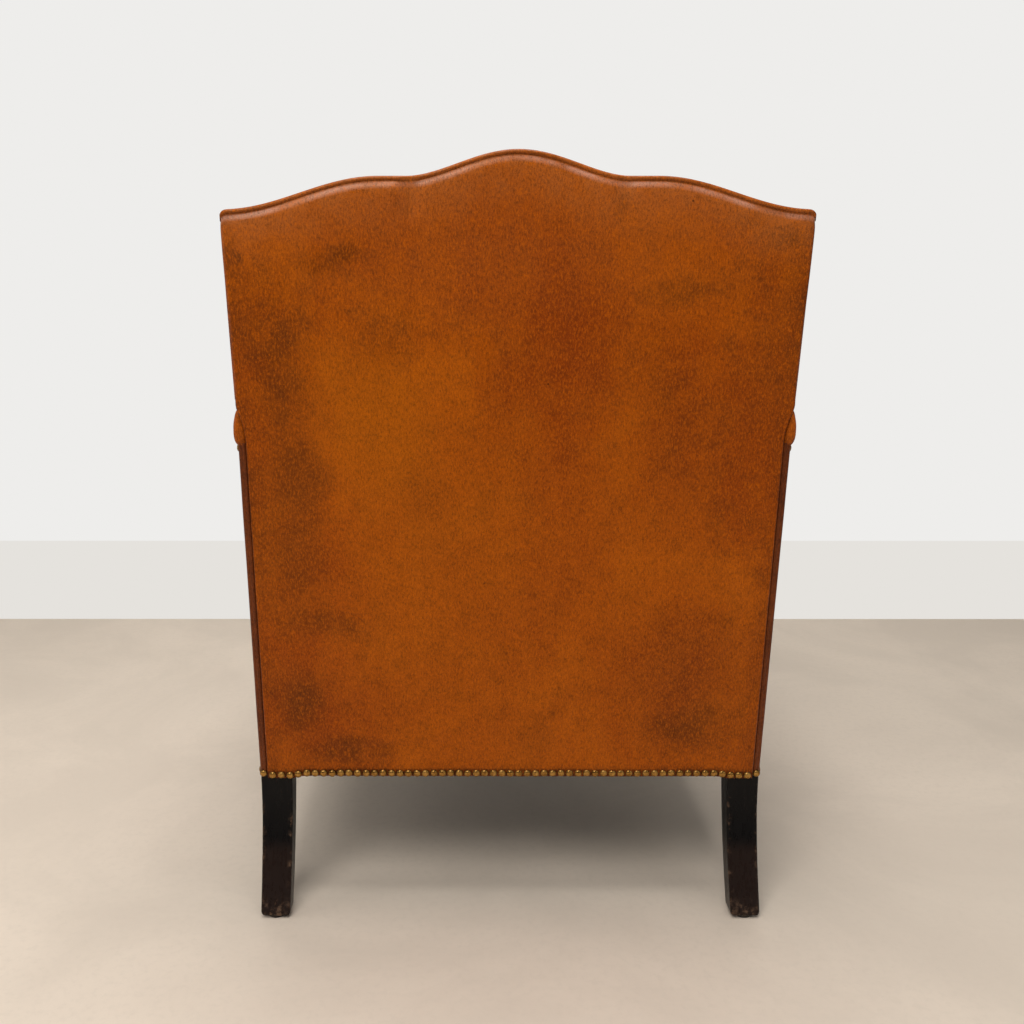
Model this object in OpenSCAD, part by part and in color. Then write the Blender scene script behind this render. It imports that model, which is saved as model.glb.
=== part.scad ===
/* [Overall] */
// Depth from the front of the arms to the back of the crest
overall_d = 800; // [740:5:860]
// Height of the rear nail line above the floor
rail_line_z = 188; // [160:1:220]
// Rise of the crest above the nail line, along the leaning back
crest_rise = 778; // [700:1:840]
// Lean of the back from upright, in degrees
lean = 7.4; // [4:0.1:12]

/* [Leather and nails] */
// Thickness of the leather
leather_t = 2; // [1:0.1:3]
// Diameter of a nail head
nail_d = 10.6; // [8:0.1:11]
// Height of a nail head's dome
nail_h = 3.4; // [2:0.1:5]
// Distance between neighbouring nails
nail_pitch = 11.2; // [11:0.1:16]
// Inset of a nail row from the edge of its leather
nail_inset = 6; // [5.5:0.1:10]

/* [Frame] */
// Distance of the outer faces of the rear posts from the centre
post_x = 328; // [300:1:360]
// Width of a rear post and its leg, seen from behind
post_w = 38; // [30:1:44]
// Depth of a rear post above the leg
post_d = 34; // [30:1:40]
// Depth of the rear leg at the foot
foot_d = 30; // [24:1:36]
// Distance that the rear foot stands behind the back
leg_sweep = 40; // [10:1:70]
// Height of the seat rails
rail_h = 76; // [60:1:90]
// Thickness of the seat rails
rail_t = 28; // [22:1:32]
// Width of a front leg at the top, and of the arm post on it
front_post = 48; // [42:1:56]
// Width of a front leg at the foot
front_foot = 36; // [28:1:42]
// Height of the board that makes the crest
crest_rail_h = 76; // [60:1:100]
// Height of the lower back rail
back_rail_h = 40; // [30:1:50]
// Thickness of the board on top of each arm
arm_rail_t = 24; // [18:1:30]
// Height of the rail at the bottom of the inside arm
stay_rail_h = 30; // [22:1:36]
// Length of a corner block along each rail
block_leg = 80; // [60:1:100]
// Height of a corner block
block_h = 40; // [30:1:50]
// Diameter of a corner block screw's shank
screw_d = 5; // [4:0.5:6]
// Length of a corner block screw
screw_l = 40; // [34:1:44]
// Diameter of the bolt that holds a front leg
bolt_d = 8; // [6:1:10]
// Length of the leg bolt in the leg and in the post
bolt_reach = 40; // [30:1:60]
// Diameter of a floor glide
glide_d = 22; // [16:1:24]
// Height of a floor glide
glide_h = 3; // [2:0.5:5]

/* [Back] */
// Half width of the outside back between the arms
seam_x = 321; // [300:1:326]
// Widening of the back at the shoulder, each side
shoulder_widen = 4; // [0:0.5:10]
// Radius of the shoulder corners
shoulder_r = 9; // [4:0.5:14]
// Height of the centre hump above the dips beside it
hump_h = 28; // [15:1:40]
// Distance of the dips from the centre
dip_x = 122; // [90:1:150]
// Distance from the centre at which the shoulders begin to fall
fall_x = 155; // [125:1:200]
// Fall of the shoulders from the dips to the corners
fall_h = 35.5; // [20:0.5:55]
// Thickness of the cotton lining under the outside back
lining_t = 5; // [3:0.5:8]
// Thickness of the back padding at its fullest
back_pad_t = 92; // [70:1:120]
// Thickness that the back padding keeps at its bottom
back_pad_low_t = 70; // [50:1:90]
// Fullness of the hump's curve, 1 being a plain cosine
hump_power = 0.85; // [0.6:0.05:1.2]

/* [Arms] */
// Distance of the inside arm faces from the centre
arm_in_x = 262; // [240:1:270]
// Height of the arm top where it meets the back
arm_rear_z = 674; // [620:1:700]
// Height of the arm top at the front
arm_front_z = 645; // [600:1:670]
// Radius of the arm roll at the back
roll_rear_r = 24; // [20:1:30]
// Radius of the arm roll at the front
roll_front_r = 42; // [34:1:48]
// Overhang of the roll past the post at the back
roll_rear_out = 8; // [4:1:14]
// Overhang of the roll past the post at the front
roll_front_out = 24; // [14:1:32]
// Radius of the inner arm edge at the back
inner_rear_r = 27; // [18:1:32]
// Radius of the inner arm edge at the front
inner_front_r = 38; // [26:1:42]
// Thickness of the padding on the inside arm
arm_pad_t = 6; // [4:0.5:8]
// Thickness of the padded board behind the arm facing
facing_t = 5; // [4:0.5:9]

/* [Seat] */
// Height of the deck burlap above the floor
deck_z = 322; // [300:1:340]
// Thickness of the deck padding
deck_pad_t = 22; // [14:1:30]
// Radius of the seat's front lip
lip_r = 16; // [8:1:20]
// Number of springs across and from front to back
spring_rows = 3; // [2:1:3]
// Radius of a spring at its ends
spring_r = 52; // [40:1:60]
// Radius of a spring at its waist
spring_waist_r = 30; // [22:1:38]
// Diameter of the spring wire
wire_d = 3.8; // [3:0.1:5]
// Turns of a spring
spring_turns = 5; // [4:1:6]
// Width of a webbing strap
strap_w = 50; // [40:1:60]
// Thickness of the webbing, the burlap and the dust cover
cloth_t = 1.2; // [0.8:0.1:1.6]

/* [Cushion] */
// Height of the cushion's border
border_h = 96; // [70:1:120]
// Crown of the cushion's top and bottom above its border
crown_h = 24; // [10:1:36]
// Inward draw of the cushion's sides between its corners
side_draw = 6; // [0:0.5:10]
// Radius of the cushion's corners in plan
cushion_r = 26; // [16:1:40]
// Clearance from the cushion to the arms and the back
cushion_clear = 3.5; // [2:0.5:8]
// Diameter of the cushion's piping
piping_d = 7; // [5:0.5:9]
// Length of the zip's opening
zip_l = 420; // [300:5:440]
// Width of the zip tape
tape_w = 30; // [24:1:36]

/* [Hidden] */
$fn = 32;
// Overrun of every cut past the face that it opens
cut_over = 1;
// Gap between soft pieces that lie on each other
soft_gap = 0.3;
// Gap round a screw or bolt in its hole
hole_gap = 0.1;
// Height of the head of a corner block screw
screw_head_h = 3;
// Head diameter of a corner block screw, as a share of the shank
screw_head_share = 2;
// Height of the lowest edge of the leather
hem_z = rail_line_z - nail_inset;
// Underside of the seat rails, a little below the nail line
rail_under = 3.8;
rail_z = rail_line_z - rail_under;
// Rear face of the leather at the nail line
back_y = overall_d / 2 - crest_rise * sin(lean);
// Rear face of the frame at the nail line
frame_y = back_y - (lining_t + leather_t) / cos(lean);
// Front face of the front posts and of the front rail
front_y = -overall_d / 2 + nail_h + facing_t + leather_t;
// Outer face of the outside arm leather
skin_x = post_x + soft_gap + cloth_t + leather_t;
// Height of the frame's top corners, along the lean
corner_h = crest_rise - hump_h - fall_h;
// Height of the joint between the rear posts and the crest rail, along the lean
crest_joint_h = corner_h - crest_rail_h;
// Places of the lower back rail and of the notch over the arms, along the lean
stay_h = (deck_z + deck_pad_t - rail_line_z) / cos(lean);
notch_h = (arm_rear_z - rail_line_z) / cos(lean);
// Depth from the rear face of the back frame to the back padding
web_d = post_d + 3 * cloth_t + soft_gap;
// Part of the crown that is left underneath, where the cushion lies on the deck
low_crown_share = 0.35;
// Heights of the deck and of the cushion resting on it
deck_top_z = deck_z + cloth_t + 2 * soft_gap + deck_pad_t + leather_t;
cushion_z = deck_top_z + soft_gap + crown_h * low_crown_share;
cushion_mid_z = cushion_z + border_h / 2;
// Steps of the arms from back to front, and of a quarter turn of a rounded edge
arm_steps = 8;
round_steps = 5;
function quarter(i) = 90 * i / round_steps;

function mix(a, b, t) = a + (b - a) * t;
function backwards(list) = [for (i = [len(list) - 1 : -1 : 0]) list[i]];
function ease(t) = (1 - cos(180 * min(1, max(0, t)))) / 2;
// Rear face of the frame at a height above the floor
function lean_y(z) = frame_y + (z - rail_line_z) * tan(lean);
// Height of the crest above the nail line, at a distance from the centre
function crest_at(x) = crest_rise - fall_h * ease((abs(x) - fall_x) / (skin_x - fall_x))
    - hump_h * (1 - pow(1 - ease(abs(x) / dip_x), hump_power));
// Half width of the back above the arms, at a height along the lean
function shoulder_at(h) = skin_x - cloth_t + shoulder_widen * ease((h - notch_h) / (corner_h - notch_h));

// Leaning frame of the back, with its rear face at y = 0
module leaning() {
    translate([0, frame_y, rail_line_z]) rotate([-lean, 0, 0]) children();
}

// A plate in the leaning frame, between two depths
module lean_plate(front, rear, points) {
    leaning() translate([0, rear, 0]) rotate([90, 0, 0]) linear_extrude(rear - front) polygon(points);
}

// The second of two pieces that mirror each other
module other_side() {
    mirror([1, 0, 0]) children();
}

// Block between two corners
module block(low, high) {
    translate(low) cube(high - low);
}

// Closed sheet between two grids with equal rows and columns
module sheet_solid(outer, inner) {
    rows = len(outer);
    cols = len(outer[0]);
    half = rows * cols;
    function a(i, j) = i * cols + j;
    function b(i, j) = half + a(i, j);
    polyhedron([for (row = concat(outer, inner)) for (p = row) p], concat(
        [for (i = [0 : rows - 2]) for (j = [0 : cols - 2]) each
            [[a(i, j), a(i, j + 1), a(i + 1, j + 1)], [a(i, j), a(i + 1, j + 1), a(i + 1, j)],
             [b(i, j), b(i + 1, j + 1), b(i, j + 1)], [b(i, j), b(i + 1, j), b(i + 1, j + 1)]]],
        [for (i = [0 : rows - 2]) each
            [[a(i, 0), a(i + 1, 0), b(i + 1, 0)], [a(i, 0), b(i + 1, 0), b(i, 0)],
             [a(i, cols - 1), b(i + 1, cols - 1), a(i + 1, cols - 1)],
             [a(i, cols - 1), b(i, cols - 1), b(i + 1, cols - 1)]]],
        [for (j = [0 : cols - 2]) each
            [[a(0, j), b(0, j + 1), a(0, j + 1)], [a(0, j), b(0, j), b(0, j + 1)],
             [a(rows - 1, j), a(rows - 1, j + 1), b(rows - 1, j + 1)],
             [a(rows - 1, j), b(rows - 1, j + 1), b(rows - 1, j)]]]));
}

// Closed body through rings of points, with a flat or pointed cap at each end
module ring_body(rings) {
    count = len(rings);
    n = len(rings[0]);
    first = count * n;
    function mid(ring) = [for (k = [0 : 2]) [for (p = ring) p[k]] * [for (p = ring) 1] / n];
    polyhedron(concat([for (ring = rings) for (p = ring) p], [mid(rings[0]), mid(rings[count - 1])]), concat(
        [for (i = [0 : count - 2]) for (j = [0 : n - 1]) each
            [[i * n + j, (i + 1) * n + (j + 1) % n, i * n + (j + 1) % n],
             [i * n + j, (i + 1) * n + j, (i + 1) * n + (j + 1) % n]]],
        [for (j = [0 : n - 1]) each
            [[first, j, (j + 1) % n], [first + 1, (count - 1) * n + (j + 1) % n, (count - 1) * n + j]]]));
}

// Closed body through open rows of points, each row closed on itself and capped by its own outline
module row_body(rows) {
    count = len(rows);
    n = len(rows[0]);
    polyhedron([for (row = rows) for (p = row) p], concat(
        [for (i = [0 : count - 2]) for (j = [0 : n - 1]) each
            [[i * n + j, (i + 1) * n + (j + 1) % n, i * n + (j + 1) % n],
             [i * n + j, (i + 1) * n + j, (i + 1) * n + (j + 1) % n]]],
        [[for (j = [0 : n - 1]) j]],
        [[for (j = [n - 1 : -1 : 0]) (count - 1) * n + j]]));
}

// Tube along a closed or open path, with its rings square to the path
module tube(path, r, sides, closed) {
    n = len(path);
    function at(i) = closed ? path[(i + n) % n] : path[min(n - 1, max(0, i))];
    function along(i) = (at(i + 1) - at(i - 1)) / norm(at(i + 1) - at(i - 1));
    function side(i) = cross(along(i), [0, 0, 1]) / norm(cross(along(i), [0, 0, 1]));
    rings = [for (i = [0 : n - 1]) [for (k = [0 : sides - 1])
        path[i] + r * (cos(360 * k / sides) * side(i) + sin(360 * k / sides) * cross(side(i), along(i)))]];
    last = closed ? n - 1 : n - 2;
    polyhedron([for (ring = rings) for (p = ring) p], concat(
        [for (i = [0 : last]) for (k = [0 : sides - 1]) each
            [[i * sides + k, i * sides + (k + 1) % sides, ((i + 1) % n) * sides + (k + 1) % sides],
             [i * sides + k, ((i + 1) % n) * sides + (k + 1) % sides, ((i + 1) % n) * sides + k]]],
        closed ? []
            : [[for (k = [sides - 1 : -1 : 0]) k], [for (k = [0 : sides - 1]) (n - 1) * sides + k]]));
}

// One nail head, its flat face down: a steep edge and a shallow dome, with the turns that end them
nail_edge_turn = 38;
nail_top_turn = 78;
module nail() {
    edge_r = nail_d / 2 * cos(nail_edge_turn);
    edge_h = nail_h * sin(nail_edge_turn);
    cylinder(r1 = nail_d / 2, r2 = edge_r, h = edge_h);
    translate([0, 0, edge_h])
        cylinder(r1 = edge_r, r2 = nail_d / 2 * cos(nail_top_turn), h = nail_h - edge_h);
}

// A plate with its outline in the side view, between two distances from the centre
module side_plate(low_x, high_x, points) {
    translate([low_x, 0, 0]) rotate([90, 0, 90]) linear_extrude(high_x - low_x) polygon(points);
}

// Depth of a rear post, measured level
post_front = post_d / cos(lean);

// Place in the side view of a point of the leaning frame, and the height there of a level plane
function lean_pt(y, h) = [frame_y + y * cos(lean) + h * sin(lean),
    rail_line_z - y * sin(lean) + h * cos(lean)];
function level_h(y, z) = (z - rail_line_z + y * sin(lean)) / cos(lean);
function lean_3d(x, y, h) = [x, lean_pt(y, h)[0], lean_pt(y, h)[1]];

// Rear face of the swept leg, which leaves the line of the post below the leather
hem_drop = 3;
sweep_top_z = hem_z - 2 * hem_drop;
leg_top_y = lean_y(sweep_top_z);
sweep_power = 1.7;
leg_steps = 10;
function leg_y(t) = leg_top_y + (back_y + leg_sweep - leg_top_y) * pow(t, sweep_power);

module rear_post_left() {
    color("#1d1512") side_plate(post_x - post_w, post_x, concat(
        [for (i = [0 : leg_steps]) let (t = 1 - i / leg_steps) [leg_y(t), mix(sweep_top_z, glide_h, t)]],
        [lean_pt(0, crest_joint_h), lean_pt(-post_d, crest_joint_h)],
        [for (i = [0 : leg_steps]) let (t = i / leg_steps)
            [leg_y(t) - mix(post_front, foot_d, t), mix(sweep_top_z, glide_h, t)]]));
}

// Place of the front posts and of the bolts that join them to the front legs
post_in_x = post_x - front_post;
bolt_x = post_x - front_post / 2;
bolt_y = front_y + front_post / 2;
leg_top_z = rail_z;
module front_leg_left() {
    taper = front_post - front_foot;
    color("#1d1512") difference() {
        intersection() {
            side_plate(post_in_x, post_x, [[front_y, leg_top_z], [front_y + taper / 2, glide_h],
                [front_y + front_post - taper / 2, glide_h], [front_y + front_post, leg_top_z]]);
            translate([0, front_y + front_post, 0]) rotate([90, 0, 0]) linear_extrude(front_post)
                polygon([[post_in_x, leg_top_z], [post_in_x + taper, glide_h], [post_x, glide_h],
                    [post_x, leg_top_z]]);
        }
        translate([bolt_x, bolt_y, leg_top_z - bolt_reach]) cylinder(d = bolt_d + 2 * hole_gap,
            h = bolt_reach + cut_over);
    }
}

module leg_bolts() {
    color("#8d8f92") for (side = [-1, 1]) translate([side * bolt_x, bolt_y, leg_top_z - bolt_reach])
        cylinder(d = bolt_d, h = 2 * bolt_reach);
}

// Centres of the feet, the rear one under the swept leg
foot_rear_y = leg_y(1) - foot_d / 2;
glide_x = post_x - front_foot / 2;
module leg_glides() {
    color("#3a3734") for (side = [-1, 1]) {
        translate([side * (post_x - post_w / 2), foot_rear_y, 0]) cylinder(d = glide_d, h = glide_h);
        translate([side * glide_x, bolt_y, 0]) cylinder(d = glide_d, h = glide_h);
    }
}

roll_steps = 9;
// Sections of the arm: angle at which the roll meets the post, and height of that neck
function roll_r(s) = mix(roll_rear_r, roll_front_r, s);
function roll_out(s) = post_x + mix(roll_rear_out, roll_front_out, s);
function arm_top(s) = mix(arm_rear_z, arm_front_z, s);
function neck_angle(s, inset) = acos((post_x - roll_out(s) + roll_r(s)) / (roll_r(s) - inset));
function neck_z(s, inset) = arm_top(s) - roll_r(s) - (roll_r(s) - inset) * sin(neck_angle(s, inset));
function rail_top(s) = mix(neck_z(0, 0), neck_z(1, 0), s) - leather_t;
function arm_path(s, inset) = concat(
    [[arm_in_x + inset, deck_z + cloth_t + soft_gap]],
    [for (i = [0 : round_steps]) let (r = mix(inner_rear_r, inner_front_r, s))
        [arm_in_x + r - (r - inset) * cos(quarter(i)), arm_top(s) - r + (r - inset) * sin(quarter(i))]],
    [for (i = [0 : roll_steps]) let (turn = mix(90, -neck_angle(s, inset), i / roll_steps))
        [roll_out(s) - roll_r(s) + (roll_r(s) - inset) * cos(turn),
         arm_top(s) - roll_r(s) + (roll_r(s) - inset) * sin(turn)]]);
// Depth of a point of the arm, from the leaning frame to the front
function arm_y(s, z) = mix(lean_y(z) - post_front - soft_gap, front_y, s);
function arm_row(s, section) = [for (p = section) [p[0], arm_y(s, p[1]), p[1]]];
// Inner side of the arm's wood
arm_wood_x = arm_in_x + leather_t + 2 * soft_gap + arm_pad_t + cloth_t;
arm_inset = leather_t + soft_gap;

module front_post_left() {
    rear = front_y + front_post;
    color("#c9a675") difference() {
        side_plate(post_in_x, post_x, [[front_y, leg_top_z], [rear, leg_top_z], [rear, rail_under_at(rear)],
            [front_y, rail_under_at(front_y)]]);
        translate([bolt_x, bolt_y, leg_top_z - cut_over]) cylinder(d = bolt_d + 2 * hole_gap,
            h = bolt_reach + cut_over);
    }
}

// Top and underside of the arm rail at a place between the back and the front
arm_rear_y = lean_y(rail_top(0)) - post_front;
rail_slope = (rail_top(0) - rail_top(1)) / (arm_rear_y - front_y);
function rail_under_at(y) = rail_top(1) + rail_slope * (y - front_y) - arm_rail_t;
module arm_rail_left() {
    under_y = arm_rear_y - arm_rail_t * tan(lean) / (1 - rail_slope * tan(lean));
    color("#c9a675") side_plate(arm_wood_x, post_x, [[front_y, rail_under_at(front_y)],
        [under_y, rail_under_at(under_y)], [arm_rear_y, rail_top(0)], [front_y, rail_top(1)]]);
}

module arm_stay_rail_left() {
    low = deck_z + cloth_t + soft_gap;
    high = low + stay_rail_h;
    color("#c9a675") side_plate(arm_wood_x, post_x - rail_t, [[front_y + front_post, low],
        [lean_y(low) - post_front, low], [lean_y(high) - post_front, high], [front_y + front_post, high]]);
}

module arm_burlap_left() {
    low = deck_z + cloth_t + soft_gap;
    color("#b79a6b") side_plate(arm_wood_x - cloth_t, arm_wood_x, [[front_y, low],
        [lean_y(low) - post_front, low], [arm_rear_y, rail_top(0)], [front_y, rail_top(1)]]);
}

module arm_padding_left() {
    color("#e9e2d0") row_body([for (i = [0 : arm_steps]) let (s = i / arm_steps) arm_row(s, concat(
        [[arm_in_x + arm_inset + arm_pad_t, deck_z + cloth_t + soft_gap],
            [arm_in_x + arm_inset + arm_pad_t, rail_top(s) + soft_gap], [post_x, rail_top(s) + soft_gap]],
        backwards(arm_path(s, arm_inset))))]);
}

module arm_cover_left() {
    color("#a85a1c") sheet_solid(
        [for (i = [0 : arm_steps]) arm_row(i / arm_steps, arm_path(i / arm_steps, 0))],
        [for (i = [0 : arm_steps]) arm_row(i / arm_steps, arm_path(i / arm_steps, leather_t))]);
}

module arm_lining_left() {
    color("#cfc3a4") side_plate(post_x, post_x + cloth_t, [[front_y, hem_z],
        [lean_y(hem_z) - wrap_r, hem_z], [lean_y(side_top(0)) - wrap_r, side_top(0)],
        [front_y, side_top(1)]]);
}

// Outside arm leather: its top edge under the roll, and its turn round the rear post
wrap_r = 4.5;
wrap_y = leather_t + soft_gap;
wrap_steps = 5;
function side_top(s) = neck_z(s, 0) - leather_t;
function side_row(v, inset) = let (z = mix(hem_z, side_top(0), v)) concat(
    [[skin_x - inset, front_y, mix(hem_z, side_top(1), v)]],
    [for (i = [0 : wrap_steps]) let (turn = 90 * i / wrap_steps)
        wrap_pt(skin_x - wrap_r + (wrap_r - inset) * cos(turn),
            wrap_y - wrap_r + (wrap_r - inset) * sin(turn), z)],
    [wrap_pt(seam_x + soft_gap, wrap_y - inset, z)]);
function wrap_pt(x, y, z) = lean_3d(x, y, level_h(y, z));
side_rows = 6;
module outside_arm_left() {
    color("#7d3a17") sheet_solid([for (i = [0 : side_rows]) side_row(1 - i / side_rows, 0)],
        [for (i = [0 : side_rows]) side_row(1 - i / side_rows, leather_t)]);
}

module arm_facing_left() {
    color("#a0541b") translate([0, front_y, 0]) rotate([90, 0, 0]) linear_extrude(facing_t + leather_t)
        polygon(facing_outline(0));
}

// Outline of the scroll-topped front of an arm
function facing_outline(inset) = concat([[arm_in_x + inset, hem_z]], arm_path(1, inset),
    [[skin_x - inset, neck_z(1, inset)], [skin_x - inset, hem_z]]);
// Seat rails
rail_in_y = front_y + rail_t;
rail_top_z = rail_z + rail_h;
module seat_rail_front() {
    color("#c9a675") difference() {
        block([-post_in_x, front_y, rail_z], [post_in_x, rail_in_y, rail_top_z]);
        for (side = [0, 1]) mirror([side, 0, 0]) block_screw_places()
            cylinder(d = screw_d + 2 * hole_gap, h = screw_l + hole_gap);
    }
}

module seat_rail_rear() {
    half = post_x - post_w;
    thick = rail_t / cos(lean);
    color("#c9a675") side_plate(-half, half, [[lean_y(rail_z) - thick, rail_z], [lean_y(rail_z), rail_z],
        [lean_y(rail_top_z), rail_top_z], [lean_y(rail_top_z) - thick, rail_top_z]]);
}

module seat_rail_left() {
    color("#c9a675") side_plate(post_x - rail_t, post_x, [[front_y + front_post, rail_z],
        [lean_y(rail_z) - post_front, rail_z], [lean_y(rail_top_z) - post_front, rail_top_z],
        [front_y + front_post, rail_top_z]]);
}

// Corner blocks, each with a notch for its post, and the screws through them
block_z = rail_z + (rail_h - block_h) / 2;
screw_back = screw_l / 2;
block_in_x = post_x - rail_t;
module front_block() {
    corner = [post_in_x, rail_in_y];
    far = [block_in_x, front_y + front_post];
    difference() {
        translate([0, 0, block_z]) linear_extrude(block_h) polygon([corner - [block_leg, 0], corner,
            [post_in_x, front_y + front_post], far, far + [0, block_leg - front_post + rail_t]]);
        block_screw_places() cylinder(d = screw_d + 2 * hole_gap, h = screw_l);
        block_screw_places() translate([0, 0, -screw_l])
            cylinder(d = screw_head_share * screw_d + 2 * hole_gap, h = screw_l);
    }
}

// Axis of the screws of the front corner block that is on the left, their tips in the front rail
screw_level_shares = [0.25, 0.75];
module block_screw_places() {
    for (level = screw_level_shares)
        translate([post_in_x - block_leg / 2, rail_in_y + screw_back, block_z + level * block_h])
        rotate([90, 0, 0]) children();
}

// Part of a rear block's length by which its foot along the side rail leans in
block_lean_share = 0.25;
module rear_block() {
    rear = lean_y(rail_z) - rail_t / cos(lean);
    half = post_x - post_w;
    intersection() {
        translate([0, 0, block_z]) linear_extrude(block_h) polygon([[half - block_leg, rear + rail_t],
            [half - block_leg, rear], [half - block_leg * block_lean_share, rear - block_leg],
            [half, rear - block_leg], [half, rear + rail_t]]);
        leaning() block([-post_x, -2 * block_leg, -rail_line_z], [post_x, -rail_t, rail_line_z]);
    }
}

module corner_blocks() {
    color("#c9a675") for (side = [0, 1]) mirror([side, 0, 0]) {
        front_block();
        rear_block();
    }
}

module corner_screws() {
    color("#9a9ca0") for (side = [0, 1]) mirror([side, 0, 0]) block_screw_places() {
        translate([0, 0, -screw_head_h]) cylinder(d = screw_head_share * screw_d, h = screw_head_h);
        cylinder(d = screw_d, h = screw_l);
    }
}

// Height left over the crest rail for the turn of the leather
crest_room = 9;
module crest_rail() {
    color("#c9a675") lean_plate(-post_d, 0, concat([[-post_x, crest_joint_h], [post_x, crest_joint_h]],
        top_points(leather_t + crest_room)));
}

module lower_back_rail() {
    half = post_x - post_w;
    color("#c9a675") lean_plate(-post_d, 0, [[-half, stay_h], [half, stay_h], [half, stay_h + back_rail_h],
        [-half, stay_h + back_rail_h]]);
}

// Webbing under the seat: straps across, and straps from front to back below them
strap_count = 4;
deck_rear_y = lean_y(rail_z) - rail_t / 2;
module seat_webbing() {
    color("#a8874f") {
        for (i = [0 : strap_count - 1]) let (y = mix(rail_in_y, deck_rear_y, (i + 0.5) / strap_count))
            block([-post_x + rail_t / 2, y - strap_w / 2, rail_z - cloth_t],
                [post_x - rail_t / 2, y + strap_w / 2, rail_z]);
        for (i = [0 : strap_count - 1]) let (x = mix(-post_in_x, post_in_x, (i + 0.5) / strap_count))
            block([x - strap_w / 2, front_y + rail_t / 2, rail_z - 2 * cloth_t],
                [x + strap_w / 2, deck_rear_y, rail_z - cloth_t]);
    }
}

// Hourglass springs, each one unbroken wire with a flat turn at both ends
spring_low_z = rail_z + wire_d / 2;
spring_high_z = deck_z - wire_d / 2 - soft_gap;
rings_a_turn = 8;
wire_sides = 6;
spring_steps = spring_turns * rings_a_turn;
// Distances of the first and last row of springs from the rails, as shares of a spring's radius
spring_near_share = 1.6;
spring_far_share = 1.8;
function coil_point(i) = let (t = i / spring_steps, r = mix(spring_waist_r, spring_r, pow(2 * t - 1, 2)))
    [(r + wire_d * (abs(2 * t - 1) - 0.5)) * cos(360 * spring_turns * t), r * sin(360 * spring_turns * t),
     mix(spring_low_z, spring_high_z, coil_height(t))];
// The end turns rise by a wire's thickness and a little more, and the middle turns by the rest
end_rise_share = 1.6;
end_rise = end_rise_share * wire_d / (spring_high_z - spring_low_z);
function coil_height(t) = let (end = 1 / spring_turns) t < end ? end_rise * t / end
    : t > 1 - end ? 1 - end_rise * (1 - t) / end : mix(end_rise, 1 - end_rise, (t - end) / (1 - 2 * end));
// Narrowest space between neighbouring turns
spring_gap = min([for (i = [0 : spring_steps - rings_a_turn])
    norm(coil_point(i + rings_a_turn) - coil_point(i))]) - wire_d;
echo(spring_gap = spring_gap);
module seat_springs() {
    span_x = post_in_x - spring_r;
    near_y = rail_in_y + spring_near_share * spring_r;
    far_y = deck_rear_y - spring_far_share * spring_r;
    color("#5d5f63") for (i = [0 : spring_rows - 1]) for (j = [0 : spring_rows - 1])
        translate([mix(-span_x, span_x, (i + 0.5) / spring_rows),
            mix(near_y, far_y, j / (spring_rows - 1)), 0])
            tube([for (k = [0 : spring_steps]) coil_point(k)], wire_d / 2, wire_sides, false);
}

// Burlap over the springs: a cap that stands on the rails, cut away round the posts
module seat_burlap() {
    half = post_x - rail_t / 2;
    near = front_y + rail_t / 2;
    far = lean_y(rail_top_z) - rail_t / 2;
    top = deck_z + cloth_t;
    color("#b79a6b") difference() {
        block([-half, near, rail_top_z], [half, far, top]);
        block([-half + cloth_t, near + cloth_t, rail_top_z - cut_over],
            [half - cloth_t, far - cloth_t, deck_z]);
        for (side = [0, 1]) mirror([side, 0, 0]) {
            block([post_in_x - soft_gap, front_y - cut_over, rail_top_z - cut_over],
                [post_x + cut_over, front_y + front_post + soft_gap, top + cut_over]);
            block([post_x - post_w - soft_gap, lean_y(rail_top_z) - post_front - soft_gap,
                rail_top_z - cut_over], [post_x + cut_over, lean_y(top) + cut_over, top + cut_over]);
        }
    }
}

// Padding of the deck, from the inside back to the front lip
deck_low_z = deck_z + cloth_t + soft_gap;
deck_back_d = web_d + back_pad_low_t + leather_t;
deck_back_y = lean_pt(-deck_back_d, level_h(-deck_back_d, deck_low_z))[0] - 3 * soft_gap;
module deck_padding() {
    half = arm_in_x - soft_gap;
    color("#e9e2d0") side_plate(-half, half, concat(
        [[deck_back_y, deck_low_z], [deck_back_y, deck_low_z + deck_pad_t],
        [front_y + lip_r, deck_low_z + deck_pad_t]], [for (i = [1 : round_steps])
        [front_y + lip_r - lip_r * sin(quarter(i)),
         deck_low_z + deck_pad_t - lip_r + lip_r * cos(quarter(i))]],
        [[front_y, deck_low_z]]));
}

// Leather over the deck and its lip, and down the front rail to the hem
module deck_cover() {
    half = arm_in_x - soft_gap;
    top = deck_low_z + deck_pad_t + soft_gap;
    r = lip_r + soft_gap;
    front = front_y - soft_gap;
    color("#a0541b") side_plate(-half, half, concat(
        [[deck_back_y, top], [deck_back_y, top + leather_t], [front + r, top + leather_t]],
        [for (i = [1 : round_steps])
            [front + r - (r + leather_t) * sin(quarter(i)), top - r + (r + leather_t) * cos(quarter(i))]],
        [[front - leather_t, hem_z], [front, hem_z]],
        [for (i = [round_steps : -1 : 1]) [front + r - r * sin(quarter(i)), top - r + r * cos(quarter(i))]],
        [[front + r, top]]));
}

module dust_cover() {
    top = rail_z - 2 * cloth_t;
    color("#1c1b1a") difference() {
        side_plate(-post_x, post_x, [[front_y, top - cloth_t], [lean_y(rail_z - 3 * cloth_t), top - cloth_t],
            [lean_y(rail_z - 3 * cloth_t), top], [front_y, top]]);
        for (side = [0, 1]) mirror([side, 0, 0]) {
            block([post_in_x - soft_gap, front_y - cut_over, 0],
                [post_x + cut_over, front_y + front_post + soft_gap, top + cut_over]);
            block([post_x - post_w - soft_gap, lean_y(0) - 2 * post_d, 0],
                [post_x + cut_over, back_y + cut_over, top + cut_over]);
        }
    }
}

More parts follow.
